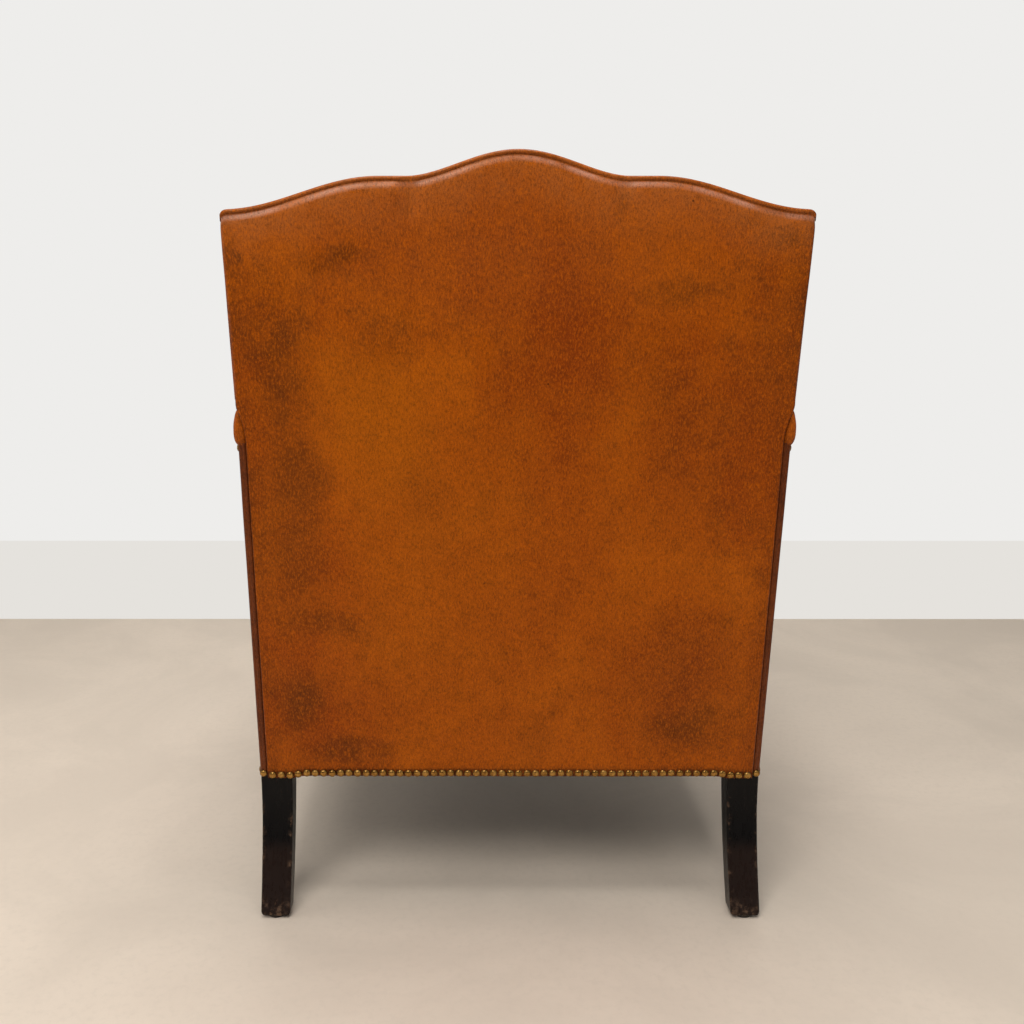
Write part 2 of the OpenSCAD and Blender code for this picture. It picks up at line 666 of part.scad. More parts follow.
// Tacks along the four edges of the dust cover
tack_d = 8;
tack_h = 1;
tack_pitch = 60;
module dust_cover_tacks() {
    z = rail_z - 3 * cloth_t - tack_h;
    side_count = floor((back_y - front_y - 2 * front_post) / tack_pitch);
    cross_count = floor(2 * (post_in_x - tack_pitch / 2) / tack_pitch);
    color("#2a2a2c") {
        for (side = [-1, 1]) for (i = [0 : side_count - 1])
            translate([side * (post_x - rail_t / 2), front_y + front_post + tack_pitch * (i + 0.5), z])
                cylinder(d = tack_d, h = tack_h);
        for (y = [front_y + rail_t / 2, lean_y(rail_z) - rail_t / 2]) for (i = [0 : cross_count - 1])
            translate([tack_pitch * (i - (cross_count - 1) / 2), y, z]) cylinder(d = tack_d, h = tack_h);
    }
}

// Outline of the outside back, from the hem to the crest
flare_rise = 44;
flare_steps = 4;
side_parts = 3;
hem_step = 18;
flare_h = notch_h - flare_rise;
hem_h = -nail_inset;
leg_in_x = post_x - post_w;
function back_side(inset) = let (c = [shoulder_at(corner_h) - shoulder_r, corner_h - shoulder_r]) concat(
    [[leg_in_x - hem_step, hem_h + inset], [leg_in_x, hem_h - hem_drop + inset],
     [seam_x - inset, hem_h - hem_drop + inset]],
    [for (i = [0 : flare_steps]) let (t = i / flare_steps)
        [mix(seam_x, shoulder_at(notch_h), t * t) - inset, flare_h + flare_rise * t]],
    [for (i = [1 : side_parts]) let (h = mix(notch_h, c[1], i / side_parts)) [shoulder_at(h) - inset, h]],
    [for (i = [1 : round_steps]) c + (shoulder_r - inset) * [cos(quarter(i)), sin(quarter(i))]]);
crest_steps = 48;
function top_points(inset) = let (reach = shoulder_at(corner_h) - shoulder_r)
    [for (i = [1 : crest_steps - 1]) let (x = reach * (1 - 2 * i / crest_steps)) [x, crest_at(x) - inset]];
function back_outline(inset) = let (side = back_side(inset)) concat(side, top_points(inset),
    [for (i = [len(side) - 1 : -1 : 0]) [-side[i][0], side[i][1]]]);

module back_lining() {
    color("#e4dcc6") lean_plate(0, lining_t, back_outline(leather_t));
}

module outside_back_panel() {
    color("#a8591a") difference() {
        lean_plate(0, lining_t + leather_t, back_outline(0));
        lean_plate(-cut_over, lining_t, back_outline(leather_t));
    }
}

// Webbing on the front of the back frame: upright straps, and straps across above the arms
module back_webbing() {
    wide = crest_joint_h + strap_w / 2;
    upright = 4;
    across = 3;
    strap_lift = 3 * ledge_step;
    color("#a8874f") {
        for (i = [0 : upright - 1]) let (x = mix(-leg_in_x, leg_in_x, (i + 0.5) / upright))
            lean_plate(-post_d - cloth_t, -post_d, [[x - strap_w / 2, stay_h], [x + strap_w / 2, stay_h],
                [x + strap_w / 2, wide], [x - strap_w / 2, wide]]);
        for (i = [0 : across - 1]) let (h = mix(notch_h + strap_lift, crest_joint_h, (i + 0.5) / across))
            lean_plate(-post_d - 2 * cloth_t, -post_d - cloth_t / 2, [[-post_x + cloth_t, h - strap_w / 2],
                [post_x - cloth_t, h - strap_w / 2], [post_x - cloth_t, h + strap_w / 2],
                [-post_x + cloth_t, h + strap_w / 2]]);
    }
}

module back_burlap() {
    low_x = arm_in_x - 2 * leather_t;
    high_x = post_x - leather_t;
    step_h = level_h(-post_d, arm_rear_z) + 2 * leather_t + ledge_step + soft_gap;
    top = crest_joint_h + crest_rail_h / 2;
    color("#b79a6b") lean_plate(-post_d - 3 * cloth_t, -post_d - 2 * cloth_t,
        [[-low_x, stay_h], [low_x, stay_h], [low_x, step_h], [high_x, step_h], [high_x, top],
         [-high_x, top], [-high_x, step_h], [-low_x, step_h]]);
}

// Front of the back: how far its rounding reaches in from the sides and down from the crest, and how
// full it is; how much its middle stands proud; and the rise of its step over the arms
face_edge_r = 46;
top_round_h = 60;
face_edge_power = 0.6;
face_turn_power = 1.3;
face_crown_share = 0.07;
ledge_step = 4;
// Parts of the face's height at which the arms end and the rounding begins, and where it is fullest
face_arm_share = 0.42;
face_round_share = 0.85;
face_fill_power = 0.8;
// Rows up the face, each [zone, height share, 1 if it stays in front of the posts, rounding angle]:
// beside the arms, above them, and round the crest
step_row_share = 0.012;
low_rows = 4;
high_rows = 3;
arm_slope = (arm_rear_z - arm_front_z) / (arm_rear_y - front_y);
face_row_table = concat(
    [for (i = [0 : low_rows]) [0, i / low_rows, 1, 0]], [[1, 0, 1, 0], [1, step_row_share, 0, 0]],
    [for (i = [1 : high_rows - 1]) [1, i / high_rows, 0, 0]],
    [for (i = [0 : round_steps]) [2, 0, 0, quarter(i)]]);
// Columns across it, each [side, place in the middle part, rounding angle]
mid_cols = 14;
last_col = 2 * round_steps + mid_cols;
function face_col(c) = c <= round_steps ? [-1, 0, 90 - quarter(c)]
    : c >= last_col - round_steps ? [1, 0, quarter(c - last_col + round_steps)]
    : [0, 2 * (c - round_steps) / mid_cols - 1, 0];
function back_depth(t) = web_d + soft_gap + leather_t
    + mix(back_pad_low_t, back_pad_t, sin(180 * pow(t, face_fill_power)));
function round_share(turn) = pow(max(0, cos(turn)), face_edge_power);
function turn_share(turn) = 1 - pow(sin(turn), face_turn_power);
// A point of the face, at an inset from its outside; its lower rows stay in front of the posts
function face_pt(row, col, inset) = let (
    t = row[0] == 0 ? row[1] * face_arm_share
        : row[0] == 1 ? mix(face_arm_share, face_round_share, row[1])
        : mix(face_round_share, 1, sin(row[3])),
    half = (row[0] == 0 ? arm_in_x - soft_gap : shoulder_at(mix(notch_h, corner_h, t))) - inset,
    edge = half - face_edge_r,
    x = col[0] == 0 ? col[1] * edge : col[0] * (edge + face_edge_r * (1 - turn_share(col[2]))),
    crown = 1 - face_crown_share + face_crown_share * cos(90 * x / half),
    share = round_share(col[2]) * round_share(row[3]) * crown,
    full = soft_gap + (back_depth(t) - inset - soft_gap) * share,
    y = -max(row[2] * (post_d + soft_gap), full))
    [x, y, face_h(row, x, y, inset)];
// Height of a point of the face whose place across and in depth is known
function face_h(row, x, y, inset) = let (
    floor_h = level_h(y, deck_low_z),
    ledge_h = level_h(y, arm_rear_z + arm_slope * (y + post_d) + 3 * soft_gap) + inset,
    crest_h = crest_at(x) - inset)
    row[0] == 0 ? mix(floor_h, ledge_h, row[1])
        : row[0] == 1 ? mix(ledge_h + ledge_step, crest_h - top_round_h, row[1])
        : crest_h - top_round_h * turn_share(row[3]);
function face_grid(inset) = [for (row = face_row_table)
    [for (c = [last_col : -1 : 0]) face_pt(row, face_col(c), inset)]];
function lean_grid(grid) = [for (row = grid) [for (p = row) lean_3d(p[0], p[1], p[2])]];

module inside_back_cover() {
    color("#a8591a") sheet_solid(lean_grid(face_grid(0)), lean_grid(face_grid(leather_t)));
}

// Padding between the leather and the plane of the burlap
pad_gap = 0.8;
module back_padding() {
    inset = leather_t + pad_gap;
    front = face_grid(inset);
    back = [for (i = [0 : len(front) - 1]) [for (p = front[i])
        [p[0], 0, face_h(face_row_table[i], p[0], 0, inset)]]];
    color("#e9e2d0") intersection() {
        sheet_solid(lean_grid(front), lean_grid(back));
        leaning() block([-skin_x, -2 * web_d - back_pad_t, -rail_line_z], [skin_x, -web_d, crest_rise]);
    }
}

// Nail heads along rows
rear_y = lining_t + leather_t;
function nail_count(length) = floor(length / nail_pitch);
module nails_rear() {
    half_count = nail_count(seam_x - nail_d / 2);
    end_x = seam_x + soft_gap + nail_d / 2;
    color("#9a7336") leaning() {
        for (i = [-half_count : half_count]) let (x = i * nail_pitch)
            translate([x, rear_y, -hem_drop * ease((abs(x) - leg_in_x + hem_step) / hem_step)])
                rotate([-90, 0, 0]) nail();
        for (side = [-1, 1]) translate([side * end_x, wrap_y, -hem_drop]) rotate([-90, 0, 0]) nail();
    }
}

module nails_left() {
    run = lean_y(rail_line_z) - wrap_r - front_y - nail_d;
    count = nail_count(run);
    color("#9a7336") for (i = [0 : count])
        translate([skin_x, front_y + nail_d / 2 + run * i / count, rail_line_z - hem_drop])
            rotate([0, 90, 0]) nail();
}

// Row under the arm roll, on the top edge of the outside arm
module nails_arm_left() {
    rear = lean_y(side_top(0)) - wrap_r - nail_d / 2;
    near = front_y + nail_d / 2;
    count = nail_count(norm([rear - near, side_top(0) - side_top(1)]));
    color("#9a7336") for (i = [0 : count]) let (y = mix(near, rear, i / count))
        translate([skin_x, y, mix(side_top(1), side_top(0), (y - front_y) / (lean_y(side_top(0)) - front_y))
            - nail_inset]) rotate([0, 90, 0]) nail();
}

module nails_front() {
    half_count = nail_count(arm_in_x - soft_gap - nail_d / 2);
    color("#9a7336") for (i = [-half_count : half_count])
        translate([i * nail_pitch, front_y - soft_gap - leather_t, rail_line_z]) rotate([90, 0, 0]) nail();
}

// Places at a steady distance along a run of points
function run_lengths(points) = [for (i = 0, sum = 0; i < len(points);
    sum = sum + (i + 1 < len(points) ? norm(points[i + 1] - points[i]) : 0), i = i + 1) sum];
function run_place(points, lengths, goal) = let (
    i = max([for (k = [0 : len(points) - 2]) lengths[k] <= goal ? k : 0]))
    mix(points[i], points[i + 1], (goal - lengths[i]) / (lengths[i + 1] - lengths[i]));
module nails_facings() {
    run = concat([[arm_in_x + nail_inset, hem_z + nail_inset]], arm_path(1, nail_inset),
        [[skin_x - nail_inset, neck_z(1, nail_inset)], [skin_x - nail_inset, hem_z + nail_inset]]);
    lengths = run_lengths(run);
    total = lengths[len(run) - 1];
    count = nail_count(total);
    base = nail_count(skin_x - arm_in_x - 2 * nail_inset);
    color("#9a7336") for (side = [0, 1]) mirror([side, 0, 0])
        translate([0, front_y - facing_t - leather_t, 0]) rotate([90, 0, 0]) {
            for (i = [0 : count]) let (p = run_place(run, lengths, total * i / count))
                translate([p[0], p[1], 0]) nail();
            for (i = [1 : base - 1])
                translate([mix(run[0][0], run[len(run) - 1][0], i / base), run[0][1], 0]) nail();
        }
}

// Leather over the rear end of each arm roll: it swells past the rear post and ends at the outside back
end_steps = 10;
end_swell = roll_rear_out - skin_x + post_x;
function end_row(t) = let (
    z = mix(side_top(0) + soft_gap, arm_rear_z, t),
    out = skin_x + end_swell * sin(180 * t))
    concat([end_pt(post_x + soft_gap, -post_d, z), end_pt(out, -post_d, z)],
        [for (i = [0 : wrap_steps]) let (turn = 90 * i / wrap_steps)
            end_pt(out - leather_t * (1 - cos(turn)), -soft_gap - leather_t * (1 - sin(turn)), z)],
        [end_pt(post_x + soft_gap, -soft_gap, z)]);
function end_pt(x, y, z) = lean_3d(x, y, level_h(y, z));
module arm_end_left() {
    color("#a0541b") row_body([for (i = [0 : end_steps]) end_row(i / end_steps)]);
}

// Loose seat cushion, its rings running from the middle of its underside to the middle of its top
cushion_x = arm_in_x - cushion_clear - piping_d;
cushion_front_y = front_y - leather_t + piping_d;
cushion_back_y = min([for (row = face_row_table) for (p = [face_pt(row, [0, 0, 0], 0)])
    lean_pt(p[1], p[2])[0]]) - cushion_clear - piping_d;
corner_steps = 4;
side_steps = 6;
ring_shares = [0.25, 0.55, 0.8, 0.93, 1];
cushion_mid_y = (cushion_front_y + cushion_back_y) / 2;
cushion_half_y = (cushion_back_y - cushion_front_y) / 2;
// One corner and the side that follows it, for each quarter: [direction of the corner, drawn-in side]
corner_signs = [[1, 1], [-1, 1], [-1, -1], [1, -1]];
side_turns = [0, 1, 1, 1];
function plan_quarter(q, inset) = let (
    c = corner_signs[q],
    n = corner_signs[(q + 1) % 4],
    half = [cushion_x - inset, cushion_half_y - inset],
    r = cushion_r - inset,
    from = [c[0] * (half[0] - (q % 2 == 0 ? r : 0)), c[1] * (half[1] - (q % 2 == 0 ? 0 : r))],
    to = [n[0] * (half[0] - (q % 2 == 0 ? r : 0)), n[1] * (half[1] - (q % 2 == 0 ? 0 : r))],
    draw = side_turns[q] * side_draw * (q % 2 == 0 ? [0, -c[1]] : [-c[0], 0]))
    concat([for (i = [0 : corner_steps]) let (turn = 90 * (q + i / corner_steps))
            [c[0] * (half[0] - r) + r * cos(turn), c[1] * (half[1] - r) + r * sin(turn)]],
        [for (i = [1 : side_steps]) let (t = i / (side_steps + 1)) mix(from, to, t) + draw * sin(180 * t)]);
function plan_ring(share, inset, z) = [for (q = [0 : 3]) for (p = plan_quarter(q, inset))
    [p[0] * share, cushion_mid_y + p[1] * share, z]];
crown_power = 2.2;
function crown_z(share) = crown_h * (1 - pow(share, crown_power));
function cushion_rings(inset) = concat(
    [for (f = ring_shares) plan_ring(f, inset, cushion_z + inset - low_crown_share * crown_z(f))],
    [plan_ring(1, inset, cushion_mid_z)],
    [for (i = [len(ring_shares) - 1 : -1 : 0]) let (f = ring_shares[i])
        plan_ring(f, inset, cushion_z + border_h - inset + crown_z(f))]);

module cushion_core() {
    color("#efe8d6") ring_body(cushion_rings(leather_t + soft_gap));
}

module cushion_cover() {
    color("#a8591a") difference() {
        ring_body(cushion_rings(0));
        ring_body(cushion_rings(leather_t));
    }
}

module cushion_piping() {
    out = piping_d / 2 + hole_gap;
    color("#7a3a14") for (z = [cushion_z, cushion_z + border_h])
        tube([for (p = plan_ring(1, -out, z)) p], piping_d / 2, wire_sides, true);
}

// Zip on the cushion's rear border: tape and teeth, slider and pull
tape_t = 1;
teeth_w = 5;
teeth_h = 1.5;
slider_size = [12, 4, 9];
pull_size = [22, 1.2, 6];
pull_end = 6;
zip_y = cushion_back_y;
module zip_tape() {
    end = zip_l / 2 + tape_w / 2;
    color("#3b2a1c") union() {
        block([-end, zip_y, cushion_mid_z - tape_w / 2], [end, zip_y + tape_t, cushion_mid_z + tape_w / 2]);
        block([-zip_l / 2, zip_y + tape_t / 2, cushion_mid_z - teeth_w / 2],
            [zip_l / 2, zip_y + tape_t + teeth_h, cushion_mid_z + teeth_w / 2]);
    }
}

module zip_slider() {
    x = zip_l / 2 - slider_size[0];
    y = zip_y + tape_t + soft_gap;
    color("#a8874f") difference() {
        block([x, y, cushion_mid_z - slider_size[2] / 2],
            [x + slider_size[0], y + slider_size[1], cushion_mid_z + slider_size[2] / 2]);
        block([x - cut_over, y - cut_over, cushion_mid_z - teeth_w / 2 - soft_gap],
            [x + slider_size[0] + cut_over, y + teeth_h, cushion_mid_z + teeth_w / 2 + soft_gap]);
    }
}

module zip_pull() {
    x = zip_l / 2 - slider_size[0] / 2;
    y = zip_y + tape_t + soft_gap + slider_size[1];
    color("#a8874f") difference() {
        translate([x, y, cushion_mid_z]) rotate([-90, 0, 0]) linear_extrude(pull_size[1]) union() {
            translate([-pull_size[0], -pull_size[2] / 2]) square([pull_size[0], pull_size[2]]);
            circle(d = pull_size[2]);
        }
        translate([x - pull_size[0] + pull_end, y - cut_over, cushion_mid_z]) rotate([-90, 0, 0])
            cylinder(d = pull_size[2] / 2, h = pull_size[1] + 2 * cut_over);
    }
}

module rear_post_right() { other_side() rear_post_left(); }
module front_leg_right() { other_side() front_leg_left(); }
module front_post_right() { other_side() front_post_left(); }
module seat_rail_right() { other_side() seat_rail_left(); }
module arm_rail_right() { other_side() arm_rail_left(); }
module arm_stay_rail_right() { other_side() arm_stay_rail_left(); }
module arm_burlap_right() { other_side() arm_burlap_left(); }
module arm_padding_right() { other_side() arm_padding_left(); }
module arm_cover_right() { other_side() arm_cover_left(); }
module arm_lining_right() { other_side() arm_lining_left(); }
module outside_arm_right() { other_side() outside_arm_left(); }
module arm_end_right() { other_side() arm_end_left(); }
module arm_facing_right() { other_side() arm_facing_left(); }
module nails_right() { other_side() nails_left(); }
module nails_arm_right() { other_side() nails_arm_left(); }

rear_post_left();
rear_post_right();
front_leg_left();
front_leg_right();
leg_bolts();
leg_glides();
front_post_left();
front_post_right();
seat_rail_front();
seat_rail_rear();
seat_rail_left();
seat_rail_right();
corner_blocks();
corner_screws();
crest_rail();
lower_back_rail();
arm_rail_left();
arm_rail_right();
arm_stay_rail_left();
arm_stay_rail_right();
seat_webbing();
seat_springs();
seat_burlap();
deck_padding();
deck_cover();
dust_cover();
dust_cover_tacks();
back_webbing();
back_burlap();
back_padding();
inside_back_cover();
back_lining();
outside_back_panel();
arm_burlap_left();
arm_burlap_right();
arm_padding_left();
arm_padding_right();
arm_cover_left();
arm_cover_right();
arm_lining_left();
arm_lining_right();
outside_arm_left();
outside_arm_right();
arm_end_left();
arm_end_right();
arm_facing_left();
arm_facing_right();
nails_rear();
nails_front();
nails_left();
nails_right();
nails_arm_left();
nails_arm_right();
nails_facings();
cushion_core();
cushion_cover();
cushion_piping();
zip_tape();
zip_slider();
zip_pull();
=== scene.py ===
import bpy
import random
import numpy as np
from math import acos, copysign, cos, dist, exp, hypot, pi, radians, sin, sqrt, tan
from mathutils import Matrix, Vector


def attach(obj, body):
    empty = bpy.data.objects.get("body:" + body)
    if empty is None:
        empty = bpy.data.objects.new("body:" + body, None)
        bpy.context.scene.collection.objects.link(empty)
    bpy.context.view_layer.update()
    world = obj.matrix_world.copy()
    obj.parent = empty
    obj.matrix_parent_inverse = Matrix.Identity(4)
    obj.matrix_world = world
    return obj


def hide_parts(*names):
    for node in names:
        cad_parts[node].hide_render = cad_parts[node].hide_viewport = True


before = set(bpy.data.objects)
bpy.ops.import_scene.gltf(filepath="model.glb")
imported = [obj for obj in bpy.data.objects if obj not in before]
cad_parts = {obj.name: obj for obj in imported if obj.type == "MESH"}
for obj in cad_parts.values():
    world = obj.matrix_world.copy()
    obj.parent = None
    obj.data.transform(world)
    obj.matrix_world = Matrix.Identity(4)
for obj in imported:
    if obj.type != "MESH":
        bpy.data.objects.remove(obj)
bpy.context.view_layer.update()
bpy.context.scene.view_settings.view_transform = "Standard"


# ---- sizes and shapes
# Sizes in millimetres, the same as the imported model's
OVERALL_D, RAIL_LINE, CREST_RISE = 800.0, 188.0, 778.0
LEAN = radians(7.4)
CL, SL, TL = cos(LEAN), sin(LEAN), tan(LEAN)
LEATHER, GAP, CLOTH, LINING = 2.0, 0.3, 1.2, 5.0
POST_X, POST_W, POST_D, FOOT_D = 328.0, 38.0, 34.0, 30.0
SEAM_X, SHOULDER_WIDEN, SHOULDER_R = 321.0, 4.0, 9.0
HUMP_H, DIP_X, FALL_X, FALL_H, HUMP_POWER = 28.0, 122.0, 155.0, 35.5, 0.85
ARM_IN, ARM_REAR_Z, ARM_FRONT_Z = 262.0, 674.0, 645.0
BACK_Y = OVERALL_D / 2 - CREST_RISE * SL
FRAME_Y = BACK_Y - (LINING + LEATHER) / CL
FRONT_Y = -OVERALL_D / 2 + 3.4 + 5 + LEATHER
SKIN_X = POST_X + GAP + CLOTH + LEATHER
CORNER_H = CREST_RISE - HUMP_H - FALL_H
NOTCH_H = (ARM_REAR_Z - RAIL_LINE) / CL
FLARE_RISE = 44.0
FLARE_H = NOTCH_H - FLARE_RISE
WEB_D = POST_D + 3 * CLOTH + GAP
PAD_T, PAD_LOW_T = 92.0, 70.0
DECK_Z, DECK_PAD = 322.0, 22.0
DECK_LOW = DECK_Z + CLOTH + GAP
HEM_Z, HEM_DROP, HEM_STEP = RAIL_LINE - 6, 3.0, 18.0
LEG_IN = POST_X - POST_W
NAIL_D, PITCH, NAIL_IN = 10.6, 11.2, 6.0
BACK_HALF, BACK_LOW = 325.0, -NAIL_IN

def mix(a, b, t):
    return a + (b - a) * t

def ease(t):
    return (1 - cos(pi * min(1.0, max(0.0, t)))) / 2

def lean_y(z):
    return FRAME_Y + (z - RAIL_LINE) * TL

def crest_at(x):
    return (CREST_RISE - FALL_H * ease((abs(x) - FALL_X) / (SKIN_X - FALL_X))
            - HUMP_H * (1 - max(0.0, 1 - ease(abs(x) / DIP_X)) ** HUMP_POWER))

def shoulder_at(h):
    return SKIN_X - CLOTH + SHOULDER_WIDEN * ease((h - NOTCH_H) / (CORNER_H - NOTCH_H))

def lean_3d(x, y, h):
    """A point of the back: across, behind the frame, and up along its lean."""
    return (x, FRAME_Y + y * CL + h * SL, RAIL_LINE - y * SL + h * CL)

def level_h(y, z):
    return (z - RAIL_LINE + y * SL) / CL

POST_FRONT = POST_D / CL
ROLL_REAR_R, ROLL_FRONT_R, ROLL_REAR_OUT, ROLL_FRONT_OUT = 24.0, 42.0, 8.0, 24.0
INNER_REAR_R, INNER_FRONT_R = 27.0, 38.0

def roll_r(s): return mix(ROLL_REAR_R, ROLL_FRONT_R, s)
def roll_out(s): return POST_X + mix(ROLL_REAR_OUT, ROLL_FRONT_OUT, s)
def arm_top(s): return mix(ARM_REAR_Z, ARM_FRONT_Z, s)
def neck_angle(s, inset): return acos((POST_X - roll_out(s) + roll_r(s)) / (roll_r(s) - inset))
def neck_z(s, inset): return arm_top(s) - roll_r(s) - (roll_r(s) - inset) * sin(neck_angle(s, inset))
def side_top(s): return neck_z(s, 0) - LEATHER
def rail_top(s): return mix(neck_z(0, 0), neck_z(1, 0), s) - LEATHER
ARM_REAR_Y = lean_y(rail_top(0)) - POST_FRONT
ARM_SLOPE = (ARM_REAR_Z - ARM_FRONT_Z) / (ARM_REAR_Y - FRONT_Y)
EDGE_R, TOP_H, EDGE_POW, TURN_POW, CROWN, STEP = 46.0, 60.0, 0.6, 1.3, 0.07, 4.0
ARM_SHARE, ROUND_SHARE, FILL_POW = 0.42, 0.85, 0.8

def back_depth(t):
    return WEB_D + GAP + LEATHER + mix(PAD_LOW_T, PAD_T, sin(pi * t ** FILL_POW))
def round_share(a): return max(0.0, cos(a)) ** EDGE_POW
def turn_share(a): return 1 - sin(a) ** TURN_POW

def face_h(row, x, y, inset):
    """Height of a point of the inside back whose place across and in depth is known."""
    floor_h = level_h(y, DECK_LOW)
    ledge_h = level_h(y, ARM_REAR_Z + ARM_SLOPE * (y + POST_D) + 3 * GAP) + inset
    crest_h = crest_at(x) - inset
    if row[0] == 0:
        return mix(floor_h, ledge_h, row[1])
    if row[0] == 1:
        return mix(ledge_h + STEP, crest_h - TOP_H, row[1])
    return crest_h - TOP_H * turn_share(row[3])

def face_pt(row, col, inset):
    """A point of the inside back, as (across, depth, height along the lean).
    row is (zone, share, 1 in front of the posts, angle), col is (side, share, angle)."""
    t = (row[1] * ARM_SHARE if row[0] == 0 else mix(ARM_SHARE, ROUND_SHARE, row[1]) if row[0] == 1
         else mix(ROUND_SHARE, 1, sin(row[3])))
    half = (ARM_IN - GAP if row[0] == 0 else shoulder_at(mix(NOTCH_H, CORNER_H, t))) - inset
    edge = half - EDGE_R
    x = col[1] * edge if col[0] == 0 else col[0] * (edge + EDGE_R * (1 - turn_share(col[2])))
    crown = 1 - CROWN + CROWN * cos(pi / 2 * x / half)
    share = round_share(col[2]) * round_share(row[3]) * crown
    y = -max(row[2] * (POST_D + GAP), GAP + (back_depth(t) - inset - GAP) * share)
    return (x, y, face_h(row, x, y, inset))

# ---- materials
class Mat:
    """A node material with short helpers. Every value is in metres or 0..1."""
    def __init__(self, name):
        self.m = bpy.data.materials.new(name)
        self.m.use_nodes = True
        self.t = self.m.node_tree
        self.t.nodes.clear()
        self.out = self.node("OutputMaterial")
        self.b = self.node("BsdfPrincipled")
        self.link(self.b.outputs[0], self.out.inputs["Surface"])
        self.co = self.node("TexCoord").outputs["Object"]

    def link(self, a, b):
        self.t.links.new(a, b)

    def put(self, socket, v):
        """Gives an input a link, a colour of three numbers, or a plain value."""
        if hasattr(v, "is_linked"):
            self.link(v, socket)
        elif isinstance(v, tuple) and len(v) == 3 and socket.type == "RGBA":
            socket.default_value = (*v, 1)
        else:
            socket.default_value = v

    def node(self, kind, inputs=(), **settings):
        """A new node with its settings, and then its inputs by name or number."""
        n = self.t.nodes.new("ShaderNode" + kind)
        for key, v in settings.items():
            setattr(n, key, v)
        for key, v in dict(inputs).items():
            self.put(n.inputs[key], v)
        return n

    def math(self, op, a, b):
        return self.node("Math", {0: a, 1: b}, operation=op).outputs[0]

    def mul(self, a, b):
        return self.math("MULTIPLY", a, b)

    def height(self):
        return self.node("SeparateXYZ", {0: self.co}).outputs[2]

    def scaled(self, *size, turn=0.0):
        """The object coordinates scaled, and turned about Y."""
        return self.node("Mapping", {"Scale": size, "Rotation": (0, turn, 0), "Vector": self.co}).outputs[0]

    def noise(self, scale, detail=4.0, rough=0.55, vec=None, distort=0.0):
        return self.node("TexNoise", {"Scale": scale, "Detail": detail, "Roughness": rough,
                                      "Distortion": distort, "Vector": vec or self.co}).outputs["Fac"]

    def voronoi(self, scale, feature="F1", vec=None):
        return self.node("TexVoronoi", {"Scale": scale, "Vector": vec or self.co},
                         feature=feature).outputs["Distance"]

    def wave(self, scale, direction):
        return self.node("TexWave", {"Scale": scale, "Distortion": 0.6, "Vector": self.co},
                         bands_direction=direction).outputs["Fac"]

    def ramp(self, fac, *stops):
        """Two stops of (place, colour) and what lies between them."""
        n = self.node("ValToRGB", {0: fac})
        for k, (p, c) in zip(n.color_ramp.elements, stops):
            k.position, k.color = p, (*c, 1)
        return n.outputs[0]

    def range(self, v, a, b, lo=0.0, hi=1.0):
        """A smooth step from lo where v is a to hi where it is b."""
        return self.node("MapRange", {0: v, 1: a, 2: b, 3: lo, 4: hi},
                         interpolation_type="SMOOTHSTEP").outputs[0]

    def mix(self, fac, a, b):
        return self.node("Mix", {0: fac, 6: a, 7: b}, data_type="RGBA").outputs[2]

    def blob(self, x, z, rx, rz, turn, wob):
        """1 at a point of the back, falling to 0 at an ellipse round it; wob is a vector that frays its edge."""
        n = self.node("Mapping", {"Location": (x, 0.3, z), "Rotation": (0, turn, 0), "Scale": (rx, 1.0, rz),
                                  "Vector": wob}, vector_type="TEXTURE")
        far = self.node("VectorMath", {0: n.outputs[0]}, operation="LENGTH")
        return self.range(far.outputs["Value"], 1.0, 0.15)

    def warped(self, scale, amount):
        """The object coordinates, pushed about by noise."""
        n = self.node("TexNoise", {"Scale": scale, "Detail": 5, "Vector": self.co})
        a = self.node("VectorMath", {0: self.co, 1: (amount / 2,) * 3}, operation="SUBTRACT")
        return self.node("VectorMath", {0: n.outputs["Color"], 1: (amount,) * 3, 2: a.outputs[0]},
                         operation="MULTIPLY_ADD").outputs[0]

    def attr(self, name):
        return self.node("Attribute", attribute_name=name).outputs["Fac"]

    def bump(self, height, strength, distance, under=None):
        n = self.node("Bump", {"Strength": strength, "Distance": distance, "Height": height})
        if under is not None:
            self.link(under, n.inputs["Normal"])
        self.link(n.outputs[0], self.b.inputs["Normal"])
        return n.outputs[0]

    def done(self, color, rough, metal=0.0, **more):
        """Fills the shader's own inputs and gives the material."""
        more.update(Base_Color=color, Roughness=rough, Metallic=metal)
        for key, v in more.items():
            self.put(self.b.inputs[key.replace("_", " ")], v)
        return self.m


def srgb(r, g, b):
    """A screen colour, 0..255, as the linear numbers that a shader wants."""
    return tuple((c / 255 / 12.92 if c / 255 <= 0.04045 else ((c / 255 + 0.055) / 1.055) ** 2.4)
                 for c in (r, g, b))


def shade(color, factor):
    """A darker or lighter form of a colour."""
    return tuple(min(1, c * factor) for c in color)


